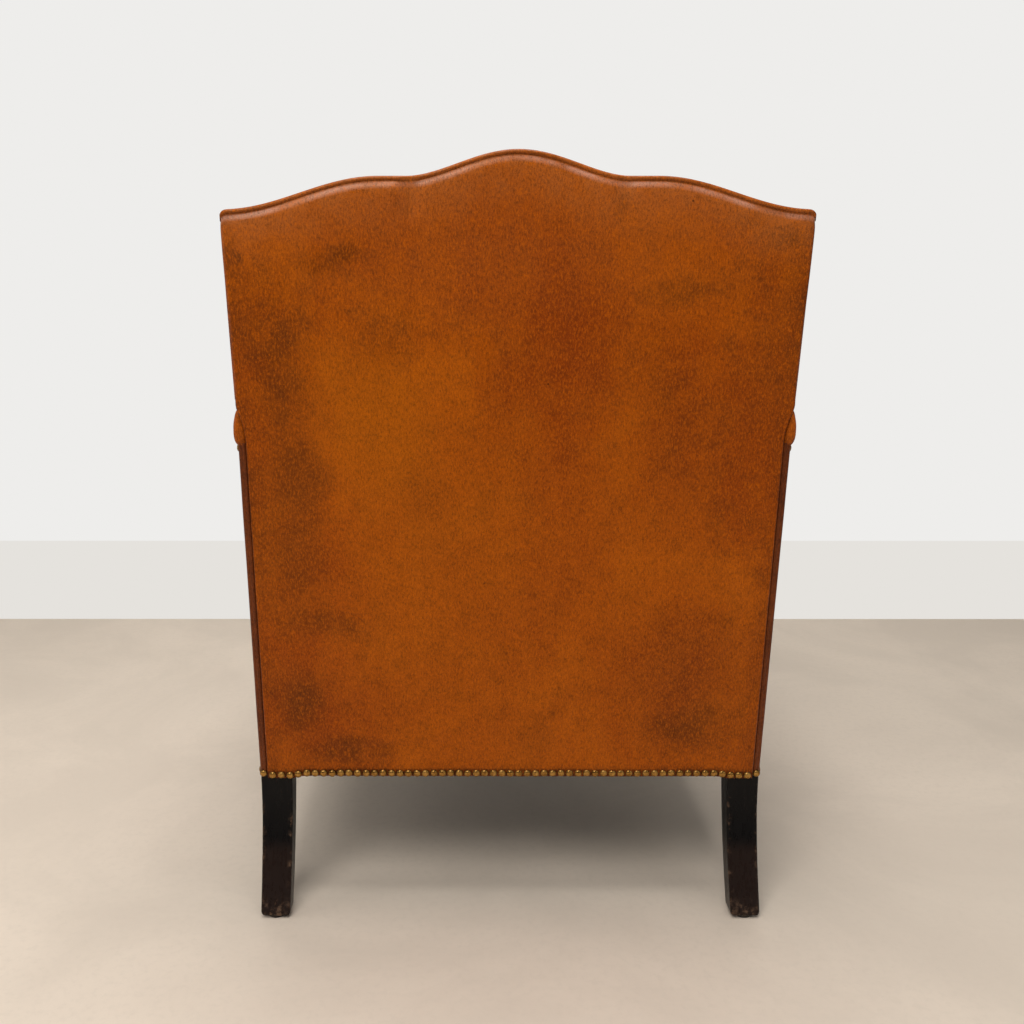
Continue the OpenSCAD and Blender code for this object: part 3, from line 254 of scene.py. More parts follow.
def leather(name, lit, mid, dark, patches=(), tints=(), rough=0.38, top=None, edge_dark=None, streak=0.35):
    """Worn dyed leather: clouds, streaks, dark patches (rubbed, and painted shade where they lie in folds),
    pores, creases and a fine pebble grain; where asked for, a painted sheen and highlight under the crest.
    """
    k = Mat(name)
    w = k.warped(14, 0.05)
    mott = k.noise(38, 6, 0.65)
    fine = k.noise(210, 3, 0.6)
    col = k.ramp(k.noise(5.5, 6, 0.6, distort=0.6), (0.32, mid), (0.6, lit))
    col = k.mix(k.range(mott, 0.45, 0.75, 0.0, 0.42), col, dark)
    runs = k.noise(1.0, 4, 0.6, vec=k.scaled(60, 60, 6))
    col = k.mix(k.range(runs, 0.45, 0.75, 0.0, streak), col, mid)
    for *place, power, c in tints:
        col = k.mix(k.mul(k.blob(*place, w), power), col, c)
    total = None
    for *place, power in patches:
        f = k.mul(k.blob(*place, w), power)
        total = f if total is None else k.math("MAXIMUM", total, f)
    if patches:
        col = k.mix(k.mul(total, k.range(k.noise(30, 7, 0.75), 0.26, 0.66, 0.25, 1.0)), col, dark)
    if top is not None:
        # Painted sheen: paler under the crest, where light from above falls, and a painted highlight along its
        # rim
        under = k.attr("under_top")
        col = k.mix(k.mul(k.range(under, 0.75, 0.0), k.range(mott, 0.3, 0.6, 0.5, 0.9)), col, top)
        # The rim is a painted highlight on the rounding just below the crest's seam
        rim = k.mul(k.range(under, 0.055, 0.075), k.range(under, 0.14, 0.085))
        rim = k.mul(rim, k.range(k.noise(16, 4), 0.35, 0.6, 0.25, 0.8))
        col = k.mix(rim, col, tuple(min(1, c + 0.22) for c in top))
    if edge_dark is not None:
        f = k.mul(k.range(k.attr("from_edge"), 0.3, 0.0, 0.0, 0.55),
                  k.range(k.noise(17, 5, 0.6), 0.35, 0.65, 0.2, 1.0))
        col = k.mix(f, col, edge_dark)
        # The seam attribute: dark seam lines, and on the outside back the painted shadow round the hem's nails
        col = k.mix(k.mul(k.attr("seam"), 0.9), col, shade(edge_dark, 0.15))
    # The grain lies over every stain: dark hollows, and light fibres between them
    fibre = k.noise(1.0, 6, 0.75, vec=k.scaled(560, 560, 230, turn=0.12))
    col = k.mix(k.range(fibre, 0.48, 0.64, 0.0, 0.5), col, shade(dark, 0.8))
    col = k.mix(k.range(fibre, 0.5, 0.36, 0.0, 0.6), col, shade(lit, 1.3))
    col = k.mix(k.range(k.noise(900, 4, 0.75), 0.52, 0.64, 0.0, 0.45), col, dark)
    pores = k.range(k.voronoi(330), 0.16, 0.05, 0.0, 0.75)
    col = k.mix(k.mul(pores, k.range(k.noise(21, 3), 0.52, 0.68)), col, shade(dark, 0.3))
    pits = k.mul(k.range(k.voronoi(42), 0.075, 0.035), k.range(k.noise(9, 2), 0.6, 0.72))
    col = k.mix(k.mul(pits, 0.8), col, shade(dark, 0.25))
    crease = k.range(k.voronoi(30, "DISTANCE_TO_EDGE", vec=k.warped(40, 0.03)), 0.03, 0.0)
    crease = k.mul(crease, k.range(k.noise(7, 3), 0.55, 0.75))
    col = k.mix(k.mul(crease, 0.35), col, shade(dark, 0.5))
    pebble = k.voronoi(760, vec=k.warped(300, 0.0012))
    h = k.math("ADD", k.mul(pebble, 0.7), k.mul(fine, 0.9))
    h = k.math("SUBTRACT", h, k.mul(crease, 0.8))
    h = k.math("SUBTRACT", h, pits)
    k.bump(h, 0.45, 0.0006, under=k.bump(k.noise(60, 4, 0.6), 0.22, 0.0012))
    r = k.math("ADD", k.range(mott, 0.3, 0.7, rough - 0.07, rough + 0.1), k.mul(fine, 0.08))
    if top is not None:
        r = k.math("SUBTRACT", r, k.range(under, 0.3, 0.05, 0.0, 0.17))
    return k.done(col, r, Specular_IOR_Level=0.2, Specular_Tint=(1.0, 0.8, 0.56, 1.0))


def cloth_mat(name, a, b, pitch, height=0.0004):
    """Plain weave of two crossing sets of yarns, with slubs."""
    k = Mat(name)
    u, v, w = (k.wave(0.16 * (1.0 / pitch), axis) for axis in "XZY")
    weave = k.math("MAXIMUM", k.mul(u, v), k.mul(w, k.math("MAXIMUM", u, v)))
    slub = k.noise(60, 5, 0.7)
    col = k.mix(k.range(slub, 0.35, 0.7), a, b)
    col = k.mix(k.mul(weave, 0.35), col, shade(a, 1.5))
    k.bump(k.math("ADD", weave, k.mul(slub, 0.4)), 0.5, height)
    return k.done(col, 0.9, Sheen_Weight=0.2)


def fluff_mat(name, a, b):
    """Combed cotton: soft clumps and loose fibres."""
    k = Mat(name)
    clump = k.noise(26, 7, 0.7, distort=0.8)
    fibre = k.noise(1.0, 5, 0.7, vec=k.scaled(260, 60, 420))
    col = k.mix(clump, a, b)
    col = k.mix(k.range(k.noise(180, 2), 0.66, 0.74, 0, 0.4), col, srgb(120, 96, 62))
    k.bump(k.math("ADD", clump, k.mul(fibre, 0.4)), 0.6, 0.003)
    return k.done(col, 0.95, Sheen_Weight=0.3)


def wood_mat(name, a, b, dark, rough, along="Z", low_sheen_and_wear=None, spec=0.3):
    """Straight-grained wood: rings drawn out along one axis, pores, and where asked for a painted sheen low down
    with rubbed feet.
    """
    k = Mat(name)
    s = [1.2 if axis == along else 22 for axis in "XYZ"]
    vec = k.scaled(*s)
    lines = k.noise(9.0, 4, 0.7, vec=vec)
    pores = k.noise(1.0, 2, 0.5, vec=k.scaled(*[q * 34 for q in s]))
    col = k.ramp(k.noise(1.4, 6, 0.6, vec=vec, distort=1.2), (0.32, a), (0.7, b))
    col = k.mix(k.range(lines, 0.5, 0.72, 0, 0.5), col, dark)
    col = k.mix(k.range(pores, 0.62, 0.75, 0, 0.45), col, dark)
    r = k.math("ADD", k.range(lines, 0.3, 0.7, rough - 0.05, rough + 0.12), k.mul(k.noise(70, 4), 0.06))
    if low_sheen_and_wear is not None:
        z = k.height()
        # Painted sheen: below about 8 cm the wood turns lighter and browner, where the swept lower legs catch
        # light
        col = k.mix(k.mul(k.range(z, 0.1, 0.075), 0.75), col, low_sheen_and_wear[0])
        scuff = k.mul(k.range(z, 0.03, 0.002), k.range(k.noise(140, 6, 0.75), 0.5, 0.66))
        col = k.mix(k.mul(scuff, 0.8), col, low_sheen_and_wear[1])
        nick = k.mul(k.attr("bevel"), k.range(k.noise(85, 6, 0.7), 0.52, 0.66))
        col = k.mix(k.mul(nick, 0.55), col, low_sheen_and_wear[1])
        r = k.math("ADD", r, k.mul(scuff, 0.25))
    k.bump(k.math("ADD", lines, k.mul(pores, 0.6)), 0.18, 0.0006)
    return k.done(col, r, Specular_IOR_Level=spec)


def metal_mat(name, a, b, dark, rough, spot=160.0):
    """Aged metal: darker in the hollows, with rubbed and tarnished spots."""
    k = Mat(name)
    patch = k.noise(spot, 5, 0.65)
    tiny = k.noise(spot * 6, 3, 0.6)
    rim = k.attr("rim")
    col = k.ramp(patch, (0.35, a), (0.65, b))
    col = k.mix(k.range(tiny, 0.55, 0.75, 0, 0.5), col, dark)
    col = k.mix(k.mul(rim, 0.85), col, dark)
    r = k.math("ADD", k.range(patch, 0.3, 0.7, rough - 0.08, rough + 0.14), k.mul(rim, 0.25))
    k.bump(k.math("ADD", patch, k.mul(tiny, 0.5)), 0.22, 0.0003)
    return k.done(col, r, 1.0)


# ---- meshes
MM = 0.001
RNG = random.Random(7)
WAVES = [[RNG.uniform(-1, 1) for _ in range(3)] + [RNG.uniform(0, 6.28)] for _ in range(12)]


def ripple(x, y, z, size):
    """Smooth random waves about -1..1, as long as size (mm)."""
    total = 0.0
    for a, b, c, p in WAVES:
        total += sin((a * x + b * y + c * z) * 6.28 / size + p)
    return total / 3.5


def piece(name, verts, faces, mat, body="chair", smooth=True, attrs=None):
    """A mesh piece from points in mm."""
    me = bpy.data.meshes.new(name)
    me.from_pydata([(x * MM, y * MM, z * MM) for x, y, z in verts], [], faces)
    me.validate()
    me.polygons.foreach_set("use_smooth", [smooth] * len(me.polygons))
    for key, values in (attrs or {}).items():
        a = me.attributes.new(key, "FLOAT", "POINT")
        a.data.foreach_set("value", [float(v) for v in values])
    ob = bpy.data.objects.new(name, me)
    bpy.context.scene.collection.objects.link(ob)
    me.materials.append(mat)
    if body:
        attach(ob, body)
    return ob


def grid_faces(rows, cols, first=0, closed=False, flip=False):
    """Quads between rows of points, each row open or closed on itself."""
    out = []
    for i in range(rows - 1):
        a = first + i * cols
        for j in range(cols if closed else cols - 1):
            k = (j + 1) % cols
            f = (a + j, a + k, a + cols + k, a + cols + j)
            out.append(f[::-1] if flip else f)
    return out


def hoop_faces(rings, n, first=0):
    """Quads between rings of n points, the last ring joined to the first."""
    return [tuple(first + v % (rings * n) for v in f) for f in grid_faces(rings + 1, n, closed=True)]


def sheet(name, rows, mat, edge, thick, side=1, flip=False):
    """A grid of points as a smooth sheet with an inner side, mirrored where side is -1.
    edge says how far each point is from the border."""
    verts = [(side * x, y, z) for row in rows for x, y, z in row]
    faces = grid_faces(len(rows), len(rows[0]), flip=flip or side < 0)
    ob = piece(name, verts, faces, mat, attrs={"from_edge": edge})
    m = ob.modifiers.new("thickness", "SOLIDIFY")
    m.thickness = thick * MM
    m.offset = -1
    return ob


def steps(low, high, pitch, edge_low=True, edge_high=True):
    """Places from low to high, close together near the ends that are asked for."""
    near = [0, 0.4, 0.9, 1.5, 2.2, 3.0, 4.0, 5.2, 6.6, 8.5, 11, 14.5]
    a = near if edge_low else [0]
    b = near if edge_high else [0]
    first, last = low + a[-1], high - b[-1]
    n = max(1, round((last - first) / pitch))
    return [low + q for q in a[:-1]] + [first + (last - first) * i / n for i in range(n + 1)] + \
           [high - q for q in b[-2::-1]]


def side_at(h):
    """Half width of the outside back at a height along the lean."""
    if h >= NOTCH_H:
        return shoulder_at(h)
    if h <= FLARE_H:
        return SEAM_X
    return mix(SEAM_X, shoulder_at(NOTCH_H), ((h - FLARE_H) / FLARE_RISE) ** 2)


CORNER_X = shoulder_at(CORNER_H) - SHOULDER_R


def top_at(x):
    """Top of the outside back, with its rounded corners."""
    x = abs(x)
    if x <= CORNER_X:
        return crest_at(x)
    return CORNER_H - SHOULDER_R + sqrt(max(0.0, SHOULDER_R ** 2 - (x - CORNER_X) ** 2))


def drop_at(x):
    """How far the hem steps down over the legs."""
    return HEM_DROP * ease((abs(x) - LEG_IN + HEM_STEP) / HEM_STEP)


def hem_at(x):
    return BACK_LOW - drop_at(x)


def fold(x, h, at, low, wide, deep):
    """A pinched valley that runs down from the crest."""
    down = top_at(x) - h
    if down > low:
        return 0.0
    reach = wide * (0.5 + 0.8 * down / low)
    return -deep * exp(-((x - at) / reach) ** 2) * (1 - down / low) ** 1.3


REAR = LINING + LEATHER + 1.2
# The two folds at the dips of the crest: place, length, width, depth
FOLDS = (121, 60, 9.0, 8.5), (-119, 44, 7.0, 4.2)


def back_relief(x, h):
    """Depth of the outside back's leather behind the frame, away from its edges."""
    u = x / BACK_HALF
    v = (h - BACK_LOW) / (top_at(x) - BACK_LOW)
    full = 1.6 * (1 - u ** 4) * (1 - (2 * v - 1) ** 4)
    d = REAR + full + 0.55 * ripple(x, 0, h, 420) + 0.22 * ripple(h, 3, x, 130)
    d += fold(x, h, *FOLDS[0]) + fold(x, h, *FOLDS[1])
    d += 2.4 * exp(-((x - 139) / 10) ** 2 - ((top_at(x) - h - 16) / 18) ** 2)
    # Fullness under the crest, held down at the first dip
    down = max(0.0, top_at(x) - h)
    held = 1 - exp(-((x - 121) / 13) ** 2) - 0.6 * exp(-((x + 119) / 12) ** 2)
    d += 4.0 * held * (1 - u ** 6) * exp(-(down / 34) ** 2)
    # Shallow crease low on one side, and crumples by the other side
    line = 38 - (x - 190) * 0.055
    if 60 < x < 300:
        d -= 0.7 * exp(-((h - line) / 3.2) ** 2) * sin(pi * (x - 60) / 240)
    if x < -250:
        d += 0.5 * (-(x + 250) / 70) * ripple(x * 2.2, 5, h, 60)
    if x > 262:
        d += 0.4 * ((x - 262) / 60) * ripple(x * 2.0, 9, h, 75)
    # The leather dips a little between nails along the hem
    up = h - hem_at(x)
    if up < 26:
        d -= 0.9 * exp(-(up / 9) ** 2)
        d += 0.45 * exp(-((up - 12) / 6) ** 2) * cos(6.2832 * x / PITCH)
    return d


def back_point(u, v):
    """A point of the outside back: place, distance from its edges, and from the crest."""
    h = hem_at(u * SEAM_X) * (1 - v) + top_at(u * shoulder_at(CORNER_H)) * v
    # Side and height depend on each other, and three rounds settle them
    for _ in range(3):
        x = u * side_at(h)
        h = mix(hem_at(x), top_at(x), v)
    side = side_at(h) - abs(x)
    slope = (top_at(x + 1) - top_at(x - 1)) / 2 if abs(x) < CORNER_X - 1 else 0
    top = (top_at(x) - h) / sqrt(1 + slope * slope)
    low = h - hem_at(x)
    d = back_relief(x, h)
    high = ease((h - NOTCH_H + 10) / 40)
    # Sides: a soft rolled edge above the arms, a tight seam below them
    r = mix(2.6, 6.0, high)
    if side < r:
        d = min(d, REAR - r + sqrt(max(0.0, r * r - (r - side) ** 2)) + (d - REAR) * side / r)
    # Crest: the roll of the front's leather, the seam under it, and the panel that swells below
    if top < 5.2:
        roll = REAR - 5.0 + 4.6 * sqrt(max(0.0, 1 - ((top - 2.6) / 2.9) ** 2))
        d = min(d, roll)
    elif top < 19:
        q = (19 - top) / 13.6
        d -= 6.6 * (1 - sqrt(max(0.0, 1 - min(1.0, q) ** 2)))
    if low < 2.0:
        d -= (2.0 - low) * 0.8
    if side > 2 and top > 0.45 and low > 2:
        d = max(d, LINING + 0.3)
    seam = max(0.55 * exp(-((top - 4.6) / 0.7) ** 2), ease((1.3 - side) / 0.9) * (1 - 0.4 * high))
    # Painted shadow: a dark band along the hem, round and just above the nail heads
    seam = max(seam, 0.75 * ease((14.5 - low) / 2.5))
    return (x, d, h), min(side, top + 8, low + 4), top, seam


def build_back(mat):
    us = [q / BACK_HALF for q in steps(-BACK_HALF, BACK_HALF, 5.0)]
    vs = [(q - BACK_LOW) / (CREST_RISE - BACK_LOW) for q in steps(BACK_LOW, CREST_RISE, 5.0)]
    verts, edge, under, seams_and_nail_shadow = [], [], [], []
    for v in vs:
        for u in us:
            p, e, t, w = back_point(u, v)
            verts.append(lean_3d(*p))
            seams_and_nail_shadow.append(w)
            edge.append(e / 100)
            under.append(t / 100)
    n, m = len(vs), len(us)
    faces = grid_faces(n, m, flip=True)
    # Rim that closes the leather forwards to the plane of the frame
    ring = [(0, j) for j in range(m)] + [(i, m - 1) for i in range(1, n)] + \
           [(n - 1, j) for j in range(m - 2, -1, -1)] + [(i, 0) for i in range(n - 2, 0, -1)]
    first = len(verts)
    for i, j in ring:
        (x, _, h), e, t, _ = back_point(us[j], vs[i])
        seams_and_nail_shadow.append(0.0)
        verts.append(lean_3d(x, 0.0, h))
        edge.append(e / 100)
        under.append(t / 100)
    for k, (i, j) in enumerate(ring):
        q = (k + 1) % len(ring)
        faces.append((i * m + j, ring[q][0] * m + ring[q][1], first + q, first + k))
    ob = piece("back_leather", verts, faces, mat, attrs={"from_edge": edge, "under_top": under, "seam": seams_and_nail_shadow})
    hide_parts("outside_back_panel")


# ---- leather of the outside back
TAN, HONEY, UMBER = srgb(150, 64, 0), srgb(180, 88, 2), srgb(80, 38, 4)
BACK_TINTS = [
    # x, z, reach across, reach up, turn, strength, colour
    (0.09, 0.52, 0.16, 0.36, 0.05, 0.50, srgb(178, 88, 0)),
    (0.17, 0.66, 0.10, 0.16, 0.2, 0.55, srgb(176, 92, 0)),
    (-0.14, 0.45, 0.12, 0.30, 0.0, 0.35, srgb(176, 84, 0)),
    # Painted sheen: a paler, pinker band across the upper back, where light from above falls
    (0.0, 0.85, 0.34, 0.11, 0.0, 0.45, srgb(160, 76, 20)),
    (-0.075, 0.76, 0.085, 0.12, 0.1, 0.50, srgb(128, 44, 0)),
    (0.02, 0.70, 0.05, 0.12, 0.0, 0.35, srgb(130, 48, 0)),
    (-0.06, 0.50, 0.08, 0.20, 0.0, 0.30, srgb(140, 54, 0)),
    (-0.21, 0.62, 0.10, 0.14, 0.0, 0.20, srgb(126, 52, 4)),
    (0.0, 0.225, 0.24, 0.045, 0.0, 0.50, srgb(174, 84, 4)),
    (-0.22, 0.34, 0.12, 0.11, 0.0, 0.45, srgb(116, 48, 4)),
    (0.27, 0.53, 0.06, 0.20, 0.0, 0.55, srgb(116, 54, 4)),
]
BACK_CLOUDS = [
    # x, z, reach across, reach up, turn, strength
    (0.204, 0.846, 0.060, 0.022, 0.05, 0.72),
    (0.275, 0.735, 0.060, 0.15, 0.08, 0.62),
    (0.255, 0.60, 0.050, 0.07, 0.4, 0.42),
    (0.150, 0.76, 0.045, 0.06, 0.3, 0.26),
    (0.232, 0.395, 0.075, 0.030, -0.15, 0.55),
    (0.272, 0.290, 0.050, 0.070, 0.1, 0.74),
    (0.215, 0.222, 0.090, 0.030, 0.0, 0.66),
    (-0.196, 0.805, 0.085, 0.022, 0.12, 0.48),
    (-0.180, 0.69, 0.05, 0.12, 0.2, 0.20),
    (-0.300, 0.75, 0.060, 0.16, 0.0, 0.28),
    (-0.305, 0.868, 0.045, 0.022, 0.0, 0.75),
    (-0.26, 0.885, 0.040, 0.016, 0.2, 0.45),
    (0.30, 0.885, 0.040, 0.014, -0.2, 0.62),
    (0.322, 0.850, 0.012, 0.012, 0.0, 0.95),
    # Painted shade: these two lie in the valleys of the folds at the crest's dips
    (-0.119, 0.912, 0.014, 0.030, 0.1, 0.80),
    (0.121, 0.912, 0.010, 0.022, 0.0, 0.60),
    (-0.03, 0.24, 0.040, 0.05, 0.0, 0.26),
    (-0.24, 0.25, 0.090, 0.06, 0.0, 0.62),
    (0.10, 0.54, 0.05, 0.12, 0.3, 0.20),
]
# top is the colour of the painted sheen under the crest
BACK_LEATHER = leather("back_leather_hide", HONEY, TAN, UMBER, patches=BACK_CLOUDS, tints=BACK_TINTS,
                       top=srgb(182, 100, 42), edge_dark=srgb(88, 36, 6))
build_back(BACK_LEATHER)


# ---- arms
WRAP_R, WRAP_Y = 4.5, LEATHER + GAP
WRAP_IN = WRAP_Y - WRAP_R
# Lengths that the outside arm's grid is spaced by, and the steps along an arm and up its rear end
SIDE_H, SIDE_L, ARM_STEPS, END_STEPS = 440, 700, 72, 24
SIDE_LEATHER = leather("outside_arm_hide", srgb(122, 58, 22), srgb(96, 42, 16), srgb(48, 22, 12),
                       patches=[(0.0, 0.3, 0.3, 0.05, 0.0, 0.2)], rough=0.4, streak=0.5)
ARM_LEATHER = leather("arm_hide", srgb(172, 88, 22), srgb(150, 70, 12), srgb(84, 36, 10), rough=0.36)
# Its darker edges include painted shade in the notches round the arm's rear bulb
END_LEATHER = leather("arm_end_hide", srgb(190, 96, 16), srgb(172, 82, 8), srgb(80, 32, 8),
                      edge_dark=srgb(62, 26, 10), rough=0.4)
NAMES = {1: "left", -1: "right"}


def wrap_pt(x, y, z):
    """A point behind the frame at a height above the floor."""
    return lean_3d(x, y, level_h(y, z))


def build_side(s):
    """Outside arm, from its front edge to the seam beside the outside back."""
    rows, edge = [], []
    for v in steps(0, SIDE_H, 9.0):
        v /= SIDE_H
        near = min(v, 1 - v) * SIDE_H
        hold = 1 - exp(-near / 22)
        z0 = mix(HEM_Z, side_top(0), v)
        rear_y = lean_3d(0, WRAP_IN, level_h(WRAP_IN, z0))[1]
        row = []
        for q in steps(0, SIDE_L, 9.0, True, False):
            f = q / SIDE_L
            y = mix(FRONT_Y, rear_y, f)
            z = mix(HEM_Z, mix(side_top(1), side_top(0), f), v)
            full = 2.2 * sin(pi * f) * sin(pi * v)
            row.append((SKIN_X + hold * (full + 0.5 * ripple(11, y, z, 260) + 0.3), y, z))
            edge.append(min(near, 60) / 100)
        # Round the rear post
        for i in range(1, 9):
            a = pi / 2 * i / 8
            row.append(wrap_pt(SKIN_X - WRAP_R + (WRAP_R + 0.2) * cos(a), WRAP_IN + WRAP_R * sin(a), z0))
            edge.append(min(v, 1 - v) * (SIDE_H / 100))
        # Behind the post, to the seam
        for i in range(1, 5):
            x = mix(SKIN_X - WRAP_R, SEAM_X + 0.5, i / 4)
            puff = 1.4 * sin(pi * i / 4.6) + 0.2 * ripple(3, 7, z0, 50)
            row.append(wrap_pt(x, WRAP_Y + puff, z0))
            edge.append(min(0.6, (x - SEAM_X) / 100 + 0.004))
        rows.append(row)
    ob = sheet("outside_arm_leather_" + NAMES[s], rows, SIDE_LEATHER, edge, 1.6, side=s)
    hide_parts("outside_arm_" + NAMES[s])


def build_end(s):
    """The arm roll's rear end: a leather bulb beside the outside back."""
    rows, edge = [], []
    low, high = side_top(0) - 5.5, ARM_REAR_Z - 3
    for i in range(END_STEPS + 1):
        t = i / END_STEPS
        full = max(0.0, 1 - abs(2 * t - 1) ** (2.0 if t > 0.5 else 3.2)) ** 0.6
        z = mix(low, high, t)
        out = SKIN_X - 2.5 + 8.0 * full * (1 - 0.25 * t)
        inner = side_at(level_h(0, z)) + 0.3
        rear = -1.5 + 7.0 * full
        r = min(6.5, max(0.5, (out - inner) * 0.75))
        row = [(out - 0.5, -POST_D + 1), (out, -POST_D * 0.66), (out, -POST_D * 0.33)]
        for k in range(9):
            a = pi / 2 * k / 8
            row.append((out - r + r * cos(a), rear - r + r * sin(a)))
        row += [(mix(out - r, inner, 0.5), rear - 0.4), (inner, rear - 1.6), (inner - 1.5, -1.0)]
        rows.append([wrap_pt(x, y, z) for x, y in row])
        # The bulb darkens towards its top and bottom ends and its inner edge: painted shade in the notches where
        # it tucks in against the back and the outside arm
        edge += [(min(t, 1 - t) * 44 + (0 if k > len(row) - 3 else 1.5)) / 100 for k in range(len(row))]
    ob = sheet("arm_end_leather_" + NAMES[s], rows, END_LEATHER, edge, 1.2, side=s)
    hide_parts("arm_end_" + NAMES[s])


def arm_path(s, inset):
    """Section of the arm's leather at s: up its inside, over the roll and down to the neck."""
    r = mix(INNER_REAR_R, INNER_FRONT_R, s)
    top = arm_top(s)
    out = [(ARM_IN + inset, DECK_LOW + (top - r - DECK_LOW) * i / 14) for i in range(14)]
    for i in range(9):
        a = pi / 2 * i / 8
        out.append((ARM_IN + r - (r - inset) * cos(a), top - r + (r - inset) * sin(a)))
    big, far = roll_r(s), roll_out(s)
    x0, x1 = ARM_IN + r, far - big
    out += [(mix(x0, x1, i / 5), top - inset) for i in range(1, 5) if x1 > x0]
    for i in range(17):
        a = mix(pi / 2, -neck_angle(s, inset), i / 16)
        out.append((far - big + (big - inset) * cos(a), top - big + (big - inset) * sin(a)))
    return out


def build_arm(s):
    """The arm's leather, from the inside back to the arm's front."""
    rows, edge = [], []
    for i in range(ARM_STEPS + 1):
        f = i / ARM_STEPS
        path = arm_path(f, 0)
        row = []
        for k, (x, z) in enumerate(path):
            y = mix(lean_y(z) - POST_FRONT - GAP, FRONT_Y, f)
            u = k / (len(path) - 1)
            hold = 0
            if 0 < u < 1 and 0 < f < 0.98:
                hold = sin(pi * u) ** 0.5 * sin(pi * min(1, f * 1.02)) ** 0.4
            soft = 0.8 * hold * ripple(x * 1.3, y, z * 1.2, 240) + 0.35 * hold * ripple(x, y * 2.5, z, 120)
            if x <= ARM_IN + 1:
                x -= min(0.0, soft) * 0.6
            else:
                z += soft
            row.append((x, y, z))
            edge.append(min(min(u, 1 - u) * 300, min(f, 1 - f) * 640) / 100)
        rows.append(row)
    ob = sheet("arm_leather_" + NAMES[s], rows, ARM_LEATHER, edge, 1.6, side=s)
    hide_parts("arm_cover_" + NAMES[s])


def facing_ring(inset):
    """Outline of the arm's front, drawn in by an inset."""
    path = arm_path(1, inset)
    low = HEM_Z + inset
    ring = [(ARM_IN + inset, mix(low, path[0][1], i / 6)) for i in range(6)] + path
    out = SKIN_X - inset
    ring += [(out, mix(neck_z(1, inset), low, i / 20)) for i in range(21)]
    ring += [(mix(out, ARM_IN + inset, i / 6), low) for i in range(1, 6)]
    return ring


def build_facing(s):
    """Padded scroll front of an arm, with a welt round its edge."""
    verts, edge = [], []
    # Inset from the outline and distance in front of the frame
    profile = [(0, 0), (0, 3.0), (0, 5.0), (0.9, 6.6), (2.2, 7.3), (3.4, 6.7), (4.0, 6.2), (5.2, 6.9),
               (8, 7.4), (12, 7.9), (16, 8.2)]
    rings = [facing_ring(i) for i, _ in profile]
    n = len(rings[0])
    for (inset, out), ring in zip(profile, rings):
        for x, z in ring:
            verts.append((s * x, FRONT_Y - out, z))
            edge.append(inset / 100)
    faces = grid_faces(len(rings), n, closed=True, flip=s < 0)
    back, front = list(range(n)), list(range(len(verts) - n, len(verts)))
    faces += [front, back[::-1]] if s > 0 else [front[::-1], back]
    ob = piece("arm_facing_leather_" + NAMES[s], verts, faces, END_LEATHER, attrs={"from_edge": edge})
    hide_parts("arm_facing_" + NAMES[s])


for side in (1, -1):
    build_side(side)
    build_end(side)
    build_arm(side)
    build_facing(side)


# ---- nails
BRASS = metal_mat("antique_brass", srgb(132, 92, 40), srgb(190, 146, 78), srgb(26, 14, 6), 0.22)
# Radius and height of each ring of a nail head, and the height of its top
DOME = [(5.3, -0.3), (5.28, 0.45), (5.0, 1.3), (4.4, 2.15), (3.45, 2.8), (2.2, 3.2), (1.0, 3.38)]
DOME_TOP = 3.4
FULL_TURN = 6.28319


def nail_piece(name, places, node):
    """Domed nail heads at (point, outward direction) in mm, each a little askew."""
    verts, faces, rim = [], [], []
    rng = random.Random(len(places))
    n, m = 14, len(DOME)
    for at, out in places:
        z = Vector(out).normalized()
        z = (z + Vector([rng.uniform(-0.07, 0.07) for _ in range(3)])).normalized()
        x = z.cross(Vector((0.31, 0.2, 0.93))).normalized()
        y = z.cross(x)
        size, push = rng.uniform(0.97, 1.0), rng.uniform(-0.15, 0.1)
        first = len(verts)
        for r, h in DOME:
            for k in range(n):
                a = FULL_TURN * k / n
                p = Vector(at) + (x * cos(a) + y * sin(a)) * r * size + z * (h + push)
                verts.append(tuple(p))
                rim.append(max(0.0, 1 - (5.6 - r) / 1.5) if r > 4.2 else 0.0)
        verts.append(tuple(Vector(at) + z * (DOME_TOP + push)))
        rim.append(0.0)
        faces += grid_faces(m, n, first, closed=True)
        top = first + m * n
        faces += [(top - n + k, top - n + (k + 1) % n, top) for k in range(n)]
    ob = piece(name, verts, faces, BRASS, attrs={"rim": rim})
    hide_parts(node)


LEAN_OUT = tuple(q - p for p, q in zip(lean_3d(0, 0, 0), lean_3d(0, 1, 0)))
rear = []
half = int((SEAM_X - NAIL_D / 2) // PITCH)
for i in range(-half, half + 1):
    x = i * PITCH
    at = lean_3d(x + RNG.uniform(-0.25, 0.25), LINING + LEATHER + 0.5, -drop_at(x) + RNG.uniform(-0.3, 0.3))
    rear.append((at, LEAN_OUT))
for s in (1, -1):
    rear.append((lean_3d(s * (SEAM_X + GAP + NAIL_D / 2), WRAP_Y + 0.6, -HEM_DROP), LEAN_OUT))
nail_piece("rear_nail_heads", rear, "nails_rear")

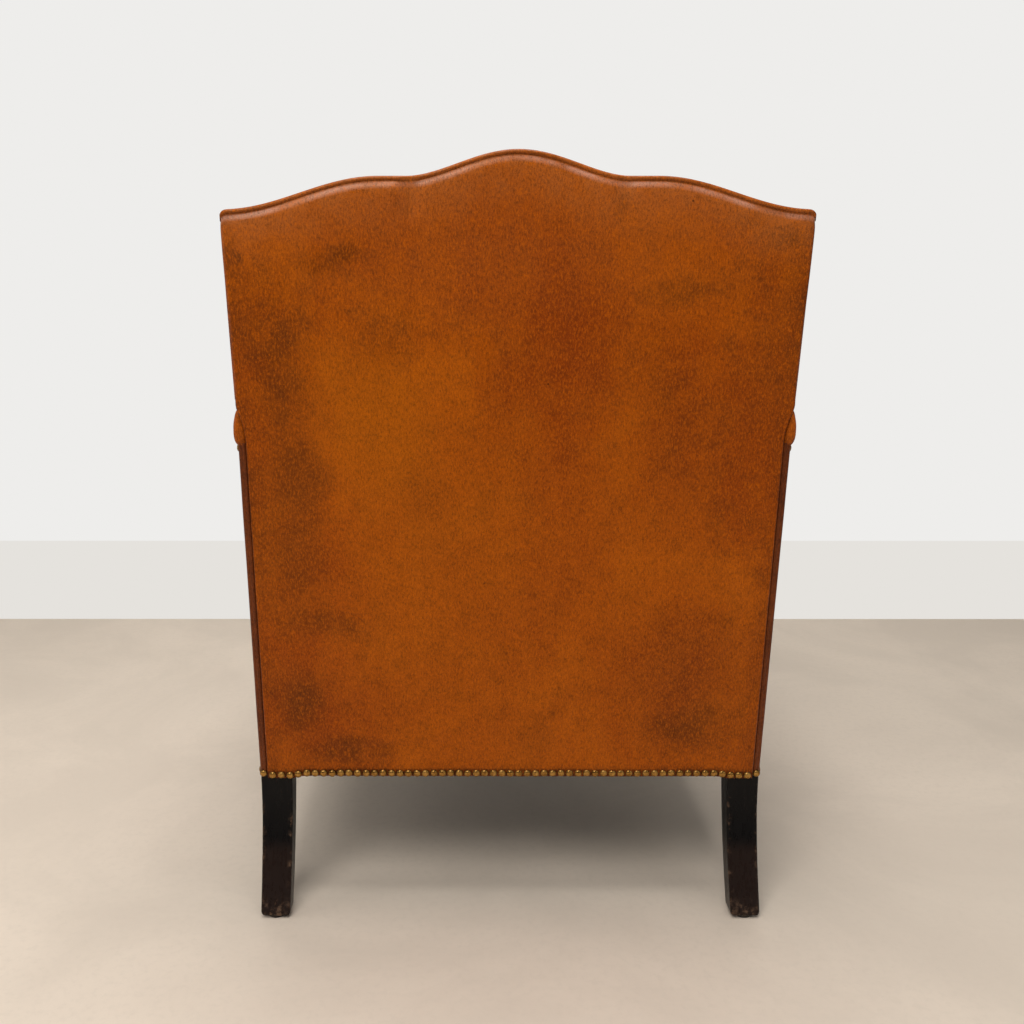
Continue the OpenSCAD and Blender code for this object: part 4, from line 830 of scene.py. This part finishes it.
run = lean_y(RAIL_LINE) - WRAP_R - FRONT_Y - NAIL_D
count = int(run // PITCH)
rear_top = lean_y(side_top(0))
arm_far = rear_top - WRAP_R - NAIL_D / 2
arm_near = FRONT_Y + NAIL_D / 2
arm_count = int(hypot(arm_far - arm_near, side_top(0) - side_top(1)) // PITCH)
low_row = [(arm_near + run * i / count, RAIL_LINE - HEM_DROP) for i in range(count + 1)]
arm_row = []
for i in range(arm_count + 1):
    y = mix(arm_near, arm_far, i / arm_count)
    arm_row.append((y, mix(side_top(1), side_top(0), (y - FRONT_Y) / (rear_top - FRONT_Y)) - NAIL_IN))
for s in (1, -1):
    for name, node, row in ("side_nail_heads_", "nails_", low_row), ("arm_nail_heads_", "nails_arm_", arm_row):
        nail_piece(name + NAMES[s], [((s * (SKIN_X + 0.2), y, z), (s, 0, 0)) for y, z in row], node + NAMES[s])
half = int((ARM_IN - GAP - NAIL_D / 2) // PITCH)
nail_piece("front_nail_heads", [((i * PITCH, FRONT_Y - GAP - LEATHER - 0.3, RAIL_LINE), (0, -1, 0))
                                for i in range(-half, half + 1)], "nails_front")


def along(points, goal):
    """The place at a distance along a run of points."""
    for a, b in zip(points, points[1:]):
        d = dist(a, b)
        if goal <= d:
            return (mix(a[0], b[0], goal / d), mix(a[1], b[1], goal / d))
        goal -= d
    return points[-1]


track = [(ARM_IN + NAIL_IN, HEM_Z + NAIL_IN)] + arm_path(1, NAIL_IN) + \
        [(SKIN_X - NAIL_IN, neck_z(1, NAIL_IN)), (SKIN_X - NAIL_IN, HEM_Z + NAIL_IN)]
whole = sum(dist(a, b) for a, b in zip(track, track[1:]))
count = int(whole // PITCH)
base = int((SKIN_X - ARM_IN - 2 * NAIL_IN) // PITCH)
spots = [along(track, whole * i / count) for i in range(count + 1)]
spots += [(mix(track[0][0], track[-1][0], i / base), track[0][1]) for i in range(1, base)]
nail_piece("facing_nail_heads", [((s * x, FRONT_Y - 7.2, z), (0, -1, 0)) for s in (1, -1) for x, z in spots],
           "nails_facings")

# ---- legs
# The first low colour is a painted sheen on the lower legs; the second is of scuffs and nicks
DARK_WOOD = wood_mat("dark_stained_wood", srgb(6, 5, 6), srgb(11, 9, 9), srgb(3, 3, 3), 0.24,
                     low_sheen_and_wear=(srgb(38, 26, 21), srgb(120, 94, 74)), spec=0.16)
LEG_LOW, GLIDE = 3.0, 3.0
SWEEP_TOP = HEM_Z - 2 * HEM_DROP
LEG_TOP_Y = lean_y(SWEEP_TOP)


def leg_y(t):
    """Rear of a rear leg, from its top (0) to the floor (1)."""
    return LEG_TOP_Y + (BACK_Y + 40 - LEG_TOP_Y) * t ** 1.7


def rounded(x0, x1, y0, y1, r):
    """Level section with rounded corners: points, and 1 on the corners."""
    pts = []
    for cx, cy, a0 in ((x1 - r, y1 - r, 0), (x0 + r, y1 - r, 90), (x0 + r, y0 + r, 180), (x1 - r, y0 + r, 270)):
        for k in range(5):
            a = radians(a0 + 22.5 * k)
            pts.append((cx + r * cos(a), cy + r * sin(a), 1.0))
    out = []
    for i, p in enumerate(pts):
        out.append(p)
        q = pts[(i + 1) % len(pts)]
        if dist(p[:2], q[:2]) > 6:
            out += [(mix(p[0], q[0], f), mix(p[1], q[1], f), b) for f, b in
                    ((0.04, 0.4), (0.12, 0), (0.5, 0), (0.88, 0), (0.96, 0.4))]
    return out


def leg_piece(name, node, rings):
    """A leg from level rings of (points, height), from the top down."""
    verts, bevel, faces = [], [], []
    n = len(rings[0][0])
    for pts, z in rings:
        for x, y, b in pts:
            up = z(y) if callable(z) else z
            verts.append((x, y, up))
            bevel.append(max(b, 1.0 if up < 9 else 0.0))
    for a, b, c, d in grid_faces(len(rings), n, closed=True):
        faces.append((a, d, c, b))
    faces += [list(range(n)), list(range(len(verts) - n, len(verts)))[::-1]]
    ob = piece(name, verts, faces, DARK_WOOD, attrs={"bevel": bevel})
    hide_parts(node)


FOOT_R = 5.5


def foot_inset(z):
    up = z - LEG_LOW
    return 0.0 if up >= FOOT_R else FOOT_R - sqrt(max(0.0, FOOT_R * FOOT_R - (FOOT_R - up) ** 2))


FOOT_LEVELS = [5.2, 4.0, 2.8, 1.8, 1.0, 0.4, 0]
FRONT_TOP = RAIL_LINE - 3.8
# Width of a front leg, and how much its inner side and its front and rear draw in
FRONT_W, DRAW_X, DRAW_Y = 48, 12, 6


def front_ring(s, z, t, r, c=0.0):
    """Level section of a front leg, which narrows towards the floor."""
    x = sorted((s * (POST_X - FRONT_W + DRAW_X * t), s * POST_X))
    return rounded(x[0] + c, x[1] - c, FRONT_Y + DRAW_Y * t + c, FRONT_Y + FRONT_W - DRAW_Y * t - c, r), z


for s in (1, -1):
    ends = sorted((s * (POST_X - POST_W), s * POST_X))
    rings = []
    for h in (CORNER_H - 76, 500, 300, 150, 60, 20):
        pts = [(*lean_3d(x, y, h)[:2], b) for x, y, b in rounded(ends[0], ends[1], -POST_D, 0, 0.6)]
        rings.append((pts, lambda y, h=h: RAIL_LINE + h * CL - (y - FRAME_Y - h * SL) * TL))
    for i in range(25):
        t = i / 24 * 0.968
        wide = sorted((ends[0], ends[1], s * (POST_X + 3.2 * (1 - t) ** 0.7)))
        r = mix(0.6, 2.6, min(1, t * 4))
        rings.append((rounded(wide[0], wide[2], leg_y(t) - mix(POST_FRONT, FOOT_D, t), leg_y(t), r),
                      mix(SWEEP_TOP, GLIDE, t)))
    for up in FOOT_LEVELS:
        z = LEG_LOW + up
        t = (SWEEP_TOP - z) / (SWEEP_TOP - GLIDE)
        c = foot_inset(z)
        rings.append((rounded(ends[0] + c, ends[1] - c, leg_y(t) - FOOT_D + c, leg_y(t) - c, 2.8), z))
    leg_piece("rear_leg_wood_" + NAMES[s], "rear_post_" + NAMES[s], rings)
    rings = []
    for i in range(19):
        t = i / 18 * 0.96
        rings.append(front_ring(s, mix(FRONT_TOP, GLIDE, t), t, 2.4))
    for up in FOOT_LEVELS:
        z = LEG_LOW + up
        rings.append(front_ring(s, z, (FRONT_TOP - z) / (FRONT_TOP - GLIDE), 2.6, foot_inset(z)))
    leg_piece("front_leg_wood_" + NAMES[s], "front_leg_" + NAMES[s], rings)


# ---- inside back
FRONT_LEATHER = leather("inside_back_hide", srgb(176, 92, 28), srgb(154, 74, 16), srgb(88, 40, 14),
                        edge_dark=srgb(90, 40, 16))
# Steps of the grid beside the arms, above them, round the edges and across the middle
LOWS, HIGHS, TURNS, MIDS = 26, 20, 12, 64


def build_face():
    """Leather of the inside back; gives the place of its foremost point."""
    table = [(0, i / LOWS, 1, 0) for i in range(LOWS + 1)]
    table += [(1, 0, 1, 0), (1, 0.004, 0.5, 0), (1, 0.012, 0, 0)]
    table += [(1, i / HIGHS, 0, 0) for i in range(1, HIGHS)]
    table += [(2, 0, 0, pi / 2 * i / TURNS) for i in range(TURNS + 1)]
    cols = [(-1, 0, pi / 2 * (1 - i / TURNS)) for i in range(TURNS + 1)]
    cols += [(0, 2 * i / MIDS - 1, 0) for i in range(1, MIDS)]
    cols += [(1, 0, pi / 2 * i / TURNS) for i in range(TURNS + 1)]
    rows, edge = [], []
    for i, r in enumerate(table):
        row = []
        for j, c in enumerate(cols):
            x, y, h = face_pt(r, c, 0)
            hold = sin(pi * j / (len(cols) - 1)) * min(1, i / 8) * min(1, (len(table) - 1 - i) / 8)
            swell = hold * (0.9 * ripple(x, 1, h, 330) + 0.35 * ripple(x * 1.4, 4, h, 110))
            if y < -POST_D - 2:
                y -= swell
            # The outline's upper corners are rounded
            out, up = abs(x) - CORNER_X, h - (CORNER_H - SHOULDER_R)
            if out > 0 and up > 0:
                far = hypot(out, up)
                keep = min(1.0, SHOULDER_R / far)
                x, h = copysign(CORNER_X + out * keep, x), CORNER_H - SHOULDER_R + up * keep
            row.append(lean_3d(x, y, h))
            rim = min(j, len(cols) - 1 - j, len(table) - 1 - i)
            edge.append(rim * 0.02 if rim < 4 else 0.6)
        rows.append(row)
    ob = sheet("inside_back_leather", rows, FRONT_LEATHER, edge, 1.6)
    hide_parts("inside_back_cover")
    return min(lean_3d(*face_pt(r, (0, 0, 0), 0))[1] for r in table)


FACE_Y = build_face()

# ---- deck, and leather over the front rail
DECK_HALF = ARM_IN - GAP
DECK_LEATHER = leather("deck_hide", srgb(150, 72, 20), srgb(128, 58, 14), srgb(72, 32, 12), rough=0.45,
                       edge_dark=srgb(70, 32, 14))


def build_deck():
    """Leather of the deck, over its lip and down the front rail."""
    top = DECK_LOW + DECK_PAD + GAP + LEATHER
    r = 16 + GAP + LEATHER
    front = FRONT_Y - GAP - LEATHER
    deep = -(WEB_D + PAD_LOW_T + LEATHER)
    far = lean_3d(0, deep, level_h(deep, DECK_LOW))[1] - 3 * GAP
    path = [(mix(far, front + r, i / 40), top) for i in range(41)]
    for i in range(1, 11):
        a = pi / 2 * i / 10
        path.append((front + r - r * sin(a), top - r + r * cos(a)))
    path += [(front, mix(top - r, HEM_Z, i / 18)) for i in range(1, 19)]
    rows, edge = [], []
    for k, (y, z) in enumerate(path):
        row = []
        for x in steps(-DECK_HALF, DECK_HALF, 11):
            near = DECK_HALF - abs(x)
            hold = min(1, near / 60) * min(1, k / 6)
            if z >= top - 0.01:
                # The hollow stays above the padding, and below the cushion
                sag = hold * (0.5 + 0.5 * ripple(x, y, 5, 210)) + 0.9 * hold * min(1, k / 20)
                row.append((x, y, z - min(LEATHER - GAP, max(0.0, sag))))
            else:
                low = z - HEM_Z
                tuck = 0.5 * cos(6.2832 * x / PITCH) * exp(-((low - 16) / 8) ** 2)
                y1 = y - 0.3 * hold * (1 + ripple(x, 3, z, 160)) * min(1, low / 40) - 0.3 * tuck
                row.append((x, y1, z))
            edge.append(min(near, 60) / 100)
        rows.append(row)
    ob = sheet("deck_leather", rows, DECK_LEATHER, edge, 1.4, flip=True)
    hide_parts("deck_cover")


build_deck()

# ---- seat cushion
CUSH_LEATHER = leather("cushion_hide", srgb(168, 84, 22), srgb(146, 68, 14), srgb(80, 34, 10), rough=0.34)
PIPING = leather("piping_hide", srgb(120, 56, 22), srgb(98, 44, 16), srgb(50, 22, 10))
DECK_TOP = DECK_Z + CLOTH + 2 * GAP + DECK_PAD + LEATHER
# Rise of the crown on top, its share underneath, height of the border, thickness of the piping, clearance
CROWN_H, LOW_SHARE, BORDER, PIPING_D, CLEAR = 24, 0.35, 96.0, 7, 3.5
CUSH_Z = DECK_TOP + GAP + CROWN_H * LOW_SHARE
CUSH_X = ARM_IN - CLEAR - PIPING_D
CUSH_FRONT = FRONT_Y - LEATHER + PIPING_D
CUSH_BACK = FACE_Y - CLEAR - PIPING_D
CUSH_MID, CUSH_HALF = (CUSH_FRONT + CUSH_BACK) / 2, (CUSH_BACK - CUSH_FRONT) / 2
SIGNS = [(1, 1), (-1, 1), (-1, -1), (1, -1)]
CLOTH_FRAMES = 20


def plan(inset, turns=6, runs=28):
    """The cushion's outline in plan, its sides drawn in between the corners."""
    out = []
    half = (CUSH_X - inset, CUSH_HALF - inset)
    r = max(3.0, 26 - inset)
    for q in range(4):
        c, n = SIGNS[q], SIGNS[(q + 1) % 4]
        even = q % 2 == 0
        start, end = ((p[0] * (half[0] - (r if even else 0)), p[1] * (half[1] - (0 if even else r)))
                      for p in (c, n))
        draw = 0 if q == 0 else 6.0
        d = (0, -c[1] * draw) if even else (-c[0] * draw, 0)
        for i in range(turns + 1):
            a = radians(90 * (q + i / turns))
            out.append((c[0] * (half[0] - r) + r * cos(a), c[1] * (half[1] - r) + r * sin(a)))
        for i in range(1, runs):
            t = i / runs
            w = sin(pi * t)
            out.append((mix(start[0], end[0], t) + d[0] * w, mix(start[1], end[1], t) + d[1] * w))
    return out


def crown(share):
    return CROWN_H * (1 - share ** 2.2)


def cushion_body(inset):
    """Closed form of the cushion: rings from the middle of its underside to the middle of its top."""
    shares = [0.04, 0.12, 0.22, 0.34, 0.46, 0.58, 0.69, 0.79, 0.87, 0.93, 0.97, 1.0]
    p = plan(inset)
    levels = [(f, CUSH_Z - LOW_SHARE * crown(f)) for f in shares]
    levels += [(1.0, CUSH_Z + BORDER * k / 8) for k in range(1, 8)]
    levels += [(f, CUSH_Z + BORDER + crown(f)) for f in reversed(shares)]
    verts = [(x * f, CUSH_MID + y * f, z) for f, z in levels for x, y in p]
    n = len(p)
    faces = grid_faces(len(levels), n, closed=True)
    faces += [list(range(n))[::-1], list(range(len(verts) - n, len(verts)))]
    return verts, faces


def near_seam(co):
    """Whether a point (mm) is on the two sewn edges of the border."""
    x, y, z = co
    seam = min(abs(z - CUSH_Z), abs(z - CUSH_Z - BORDER))
    side = min(CUSH_X - 4 - abs(x), CUSH_HALF - 4 - abs(y - CUSH_MID))
    return seam < 5.5 and side < 11


def points_of(mesh):
    co = np.empty(len(mesh.vertices) * 3)
    mesh.vertices.foreach_get("co", co)
    return co.reshape(-1, 3)


def swell(ob, cap, pressure):
    """Points of a piece, remeshed and then blown up as cloth, none moved further than the cap (mm)."""
    scene = bpy.context.scene
    bpy.ops.object.select_all(action="DESELECT")
    ob.select_set(True)
    bpy.context.view_layer.objects.active = ob
    m = ob.modifiers.new("remesh", "REMESH")
    m.mode = "VOXEL"
    m.voxel_size = 0.0065
    bpy.ops.object.modifier_apply(modifier=m.name)
    start = points_of(ob.data)
    group = ob.vertex_groups.new(name="seams")
    group.add([i for i, c in enumerate(start) if near_seam(c / MM)], 1.0, "REPLACE")
    c = ob.modifiers.new("cloth", "CLOTH")
    s = c.settings
    s.quality = 5
    s.mass = 0.3
    s.tension_stiffness = s.compression_stiffness = 15
    s.shear_stiffness = 5
    s.bending_stiffness = 6.0
    s.use_pressure = True
    s.uniform_pressure_force = pressure
    s.effector_weights.gravity = 0
    s.vertex_group_mass = "seams"
    c.collision_settings.use_collision = False
    c.point_cache.frame_start, c.point_cache.frame_end = 1, CLOTH_FRAMES
    for f in range(1, CLOTH_FRAMES + 1):
        scene.frame_set(f)
    end = points_of(ob.evaluated_get(bpy.context.evaluated_depsgraph_get()).data)
    ob.modifiers.remove(c)
    scene.frame_set(1)
    move = end - start
    far = np.linalg.norm(move, axis=1, keepdims=True)
    return start + move * np.minimum(1.0, cap * MM / np.maximum(far, 1e-9))


def build_cushion():
    """The cushion's leather, swollen by its filling."""
    verts, faces = cushion_body(0.8)
    ob = piece("seat_cushion_leather", verts, faces, CUSH_LEATHER, body=None)
    co = swell(ob, 7, 4.0)
    # The swollen form stays in the cushion's own room
    x, y, z = co[:, 0] / MM, co[:, 1] / MM - CUSH_MID, co[:, 2] / MM
    px = np.minimum(1.0, (CUSH_X + 4.0) / np.maximum(np.abs(x), 1e-6))
    py = np.minimum(1.0, (CUSH_HALF + 4.0) / np.maximum(np.abs(y), 1e-6))
    z = np.clip(z, CUSH_Z - LOW_SHARE * CROWN_H + 0.2, CUSH_Z + BORDER + 32)
    wrinkle = np.array([ripple(a, b, c, 190) for a, b, c in zip(x, y, z)])
    top = np.clip((z - CUSH_Z - BORDER) / 6, 0, 1)
    z = z + 1.0 * wrinkle * top
    # Where someone has sat, the top is a little lower
    z = z - 4.0 * np.exp(-((x / 150) ** 2 + ((y - 20) / 170) ** 2)) * top
    co = np.stack([x * px * MM, (y * py + CUSH_MID) * MM, z * MM], axis=1)
    ob.data.vertices.foreach_set("co", co.reshape(-1))
    ob.data.update()
    m = ob.modifiers.new("fine", "SUBSURF")
    m.levels = m.render_levels = 1
    bpy.ops.object.modifier_apply(modifier=m.name)
    ob.data.polygons.foreach_set("use_smooth", [True] * len(ob.data.polygons))
    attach(ob, "cushion")
    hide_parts("cushion_cover")


def tube(points, r, sides):
    """Closed tube along points in mm, with a little unevenness."""
    verts = []
    n = len(points)
    for i, p in enumerate(points):
        a, b = Vector(points[i - 1]), Vector(points[(i + 1) % n])
        t = (b - a).normalized()
        side = t.cross(Vector((0, 0, 1))).normalized()
        up = side.cross(t)
        q = r * (1 + 0.04 * sin(i * 1.7) + 0.03 * sin(i * 0.61))
        for k in range(sides):
            w = FULL_TURN * k / sides
            verts.append(tuple(Vector(p) + side * q * cos(w) + up * q * sin(w)))
    return verts


build_cushion()
verts, faces = [], []
for z in (CUSH_Z, CUSH_Z + BORDER):
    line = [(x, CUSH_MID + y, z) for x, y in plan(-3.6, 8, 60)]
    faces += hoop_faces(len(line), 10, len(verts))
    verts += tube(line, PIPING_D / 2, 10)
    # The welt's flange, sewn in between border and top
    faces += hoop_faces(4, len(line), len(verts))
    for inset, up in ((-3.6, 0.7), (-3.6, -0.7), (11.0, -0.7), (11.0, 0.7)):
        verts += [(x, CUSH_MID + y, z + up) for x, y in plan(inset, 8, 60)]
welt = piece("cushion_welts", verts, faces, PIPING, body="cushion")
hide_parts("cushion_piping")


# ---- dust cover underneath
def build_dust():
    """Dust cover, cut out round the four legs."""
    top = FRONT_TOP - 2 * CLOTH
    far = lean_y(FRONT_TOP - 3 * CLOTH)
    xs = steps(-POST_X, POST_X, 14, False, False)
    ys = steps(FRONT_Y, far, 14, False, False)
    wide = FRONT_W + GAP
    cuts = [(-POST_X + wide, FRONT_Y + wide), (-POST_X + POST_W + GAP, far - POST_FRONT - 1)]
    xs = sorted(set(xs) | {-cuts[0][0], cuts[0][0], -cuts[1][0], cuts[1][0]})
    ys = sorted(set(ys) | {cuts[0][1], cuts[1][1]})
    verts = []
    for y in ys:
        sag = 3.5 * sin(pi * ((y - FRONT_Y) / (far - FRONT_Y)))
        verts += [(x, y, top - CLOTH * 0.5 - sag * cos(pi / 2 * x / POST_X) + 0.3 * ripple(x, y, 2, 150))
                  for x in xs]
    n = len(xs)
    faces = []
    for i in range(len(ys) - 1):
        for j in range(n - 1):
            cx, cy = abs(xs[j] + xs[j + 1]) / 2, (ys[i] + ys[i + 1]) / 2
            if (cx > -cuts[0][0] and cy < cuts[0][1]) or (cx > -cuts[1][0] and cy > cuts[1][1]):
                continue
            faces.append((i * n + j, i * n + j + 1, (i + 1) * n + j + 1, (i + 1) * n + j))
    weave = cloth_mat("dust_cloth_weave", srgb(30, 29, 28), srgb(44, 42, 40), 0.0012)
    ob = piece("dust_cover_cloth", verts, faces, weave)
    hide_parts("dust_cover")


build_dust()

# ---- zip teeth
ZIP_MID = CUSH_Z + BORDER / 2
ZIP_Y = CUSH_BACK + 1.0 + 0.4
TEETH, TOOTH_L, TOOTH_T, TOOTH_PITCH, ZIP_START = 140, 1.6, 1.0, 3.0, -209
ZIP_MAT = metal_mat("zip_brass", srgb(176, 140, 74), srgb(206, 172, 106), srgb(84, 60, 28), 0.3, spot=300)
verts, faces = [], []
for i in range(TEETH):
    x = ZIP_START + TOOTH_PITCH * i
    a, b = (0.2, 2.6) if i % 2 else (-2.6, -0.2)
    first = len(verts)
    for low, high in ((0, 0.1), (1, 0.9)):
        for dx, dy, dz in ((0, 0, low), (TOOTH_L, 0, low), (TOOTH_L, TOOTH_T, high), (0, TOOTH_T, high)):
            verts.append((x + dx, ZIP_Y + dy, ZIP_MID + mix(a, b, dz)))
    for f in ((0, 3, 2, 1), (4, 5, 6, 7), (0, 1, 5, 4), (1, 2, 6, 5), (2, 3, 7, 6), (3, 0, 4, 7)):
        faces.append(tuple(first + k for k in f))
teeth = piece("zip_teeth", verts, faces, ZIP_MAT, body="cushion", smooth=False)

# ---- the carried-over pieces
OAK = (srgb(206, 172, 124), srgb(186, 150, 102), srgb(142, 106, 66))
WOODS = {axis: wood_mat("beech_along_" + axis.lower(), *OAK, 0.55, along=axis) for axis in "XYZ"}
STEEL = metal_mat("zinc_steel", srgb(150, 152, 156), srgb(176, 178, 182), srgb(86, 84, 82), 0.34)
SPRING = metal_mat("spring_steel", srgb(120, 100, 84), srgb(146, 118, 94), srgb(62, 44, 34), 0.36)
DARK_STEEL = metal_mat("dark_steel", srgb(56, 52, 50), srgb(78, 74, 70), srgb(28, 24, 22), 0.42)
WEBBING = cloth_mat("jute_webbing", srgb(164, 130, 80), srgb(136, 104, 62), 0.0024, height=0.001)
BURLAP = cloth_mat("burlap_weave", srgb(186, 158, 110), srgb(154, 126, 84), 0.003, height=0.0012)
COTTON = fluff_mat("cotton_felt", srgb(232, 226, 210), srgb(208, 198, 176))
FILL = fluff_mat("cushion_fibre", srgb(238, 234, 222), srgb(214, 206, 188))
# The filling keeps clear of its leather, also at the sewn edges
verts, faces = cushion_body(7.0)
verts = [(x, y, ZIP_MID + (z - ZIP_MID) * 0.92) for x, y, z in verts]
filling = piece("cushion_filling", verts, faces, FILL, body="cushion")
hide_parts("cushion_core")
LINEN = cloth_mat("lining_weave", srgb(218, 208, 184), srgb(190, 178, 152), 0.0012)
TAPE = cloth_mat("zip_tape_weave", srgb(66, 48, 34), srgb(48, 34, 24), 0.001)
# Materials of the nodes that are shown as they are; * stands for left and right
CARRIED = {
    WOODS["X"]: ["seat_rail_front", "seat_rail_rear", "crest_rail", "lower_back_rail"],
    WOODS["Y"]: ["seat_rail_*", "arm_rail_*", "arm_stay_rail_*", "corner_blocks"],
    WOODS["Z"]: ["front_post_*"], STEEL: ["leg_bolts", "corner_screws"], SPRING: ["seat_springs"],
    DARK_STEEL: ["leg_glides", "dust_cover_tacks"], WEBBING: ["seat_webbing", "back_webbing"],
    BURLAP: ["seat_burlap", "back_burlap", "arm_burlap_*"],
    COTTON: ["deck_padding", "back_padding", "arm_padding_*"],
    LINEN: ["back_lining", "arm_lining_*"], TAPE: ["zip_tape"], ZIP_MAT: ["zip_slider", "zip_pull"],
}
for mat, names in CARRIED.items():
    for name in dict.fromkeys(n.replace("*", side) for n in names for side in NAMES.values()):
        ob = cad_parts[name]
        if not ob.material_slots:
            ob.data.materials.append(mat)
        for slot in ob.material_slots:
            slot.material = mat


# ---- stage, light and camera
def stage_mat(name, color, rough, scale, strength, seen=None):
    """Plaster or screed with faint mottling; seen holds what the camera sees of it, below and above."""
    k = Mat(name)
    fine = k.noise(scale * 40, 4, 0.7)
    col = k.mix(k.range(k.noise(scale, 7, 0.62, distort=0.6), 0.35, 0.65), color, shade(color, 0.90))
    col = k.mix(k.range(fine, 0.45, 0.7, 0.0, 0.35), col, shade(color, 0.86))
    k.bump(fine, strength, 0.0006)
    k.done(col, rough)
    if seen is not None:
        # What the camera sees of the wall is a plain pale colour, a little darker below the skirting's edge
        glow = k.node("Emission", {0: k.mix(k.range(k.height(), 0.0495, 0.0515), *seen)})
        both = k.node("MixShader", {0: k.node("LightPath").outputs["Is Camera Ray"], 1: k.b.outputs[0],
                                    2: glow.outputs[0]})
        k.link(both.outputs[0], k.out.inputs["Surface"])
    return k.m


def stage_strip(name, line, mat, half=7.0):
    """A stage surface through a line of (y, z), as wide as the room."""
    me = bpy.data.meshes.new(name)
    me.from_pydata([(x, y, z) for y, z in line for x in (-half, half)], [],
                   [(2 * i, 2 * i + 1, 2 * i + 3, 2 * i + 2) for i in range(len(line) - 1)])
    ob = bpy.data.objects.new(name, me)
    bpy.context.scene.collection.objects.link(ob)
    me.materials.append(mat)


WALL_Y, SKIRT_Y = -1.9, -1.095
stage_strip("floor", [(7, 0), (SKIRT_Y, 0)], stage_mat("floor_paint", srgb(222, 208, 192), 0.6, 2.2, 0.05))
stage_strip("backdrop", [(SKIRT_Y, 0), (WALL_Y, 0.05), (WALL_Y, 3.6)],
            stage_mat("wall_paint", srgb(246, 245, 242), 0.85, 1.5, 0.04,
                      seen=(srgb(229, 226, 221), srgb(238, 237, 235))))


def area(name, place, aim, size, power, color):
    d = bpy.data.lights.new(name, "AREA")
    d.shape = "RECTANGLE"
    d.size, d.size_y = size
    d.energy = power
    d.color = color
    d.spread = pi
    ob = bpy.data.objects.new(name, d)
    ob.location = place
    ob.rotation_euler = (Vector(aim) - Vector(place)).to_track_quat("-Z", "Y").to_euler()
    bpy.context.scene.collection.objects.link(ob)


area("key", (0.9, 2.3, 2.7), (0, 0.35, 0.6), (1.8, 1.4), 52, (1.0, 0.975, 0.94))
area("fill", (-2.2, 2.2, 1.5), (0, 0.35, 0.45), (1.8, 1.8), 10, (1.0, 0.99, 0.97))
area("top", (0.0, 0.35, 3.0), (0, 0.3, 0), (1.5, 1.5), 46, (1.0, 0.985, 0.96))
area("side", (2.4, 0.4, 1.4), (0, 0.2, 0.5), (1.4, 1.8), 12, (1.0, 0.98, 0.95))
world = bpy.data.worlds.new("room")
bpy.context.scene.world = world
world.use_nodes = True
world.node_tree.nodes["Background"].inputs[0].default_value = (1.0, 0.99, 0.97, 1)
world.node_tree.nodes["Background"].inputs[1].default_value = 0.15

cam_data = bpy.data.cameras.new("camera")
cam_data.lens = 36
cam_data.sensor_width = 36
cam = bpy.data.objects.new("camera", cam_data)
bpy.context.scene.collection.objects.link(cam)
bpy.context.scene.camera = cam
CAM_TURN, CAM_TILT = 0.0006, radians(9.94)
cam.location = (0.0556, 1.5736, 0.7603)
look = Vector((sin(CAM_TURN) * cos(CAM_TILT), -cos(CAM_TURN) * cos(CAM_TILT),
               -sin(CAM_TILT)))
cam.rotation_euler = look.to_track_quat("-Z", "Y").to_euler()
cam_data.shift_x = 44.5 / 1024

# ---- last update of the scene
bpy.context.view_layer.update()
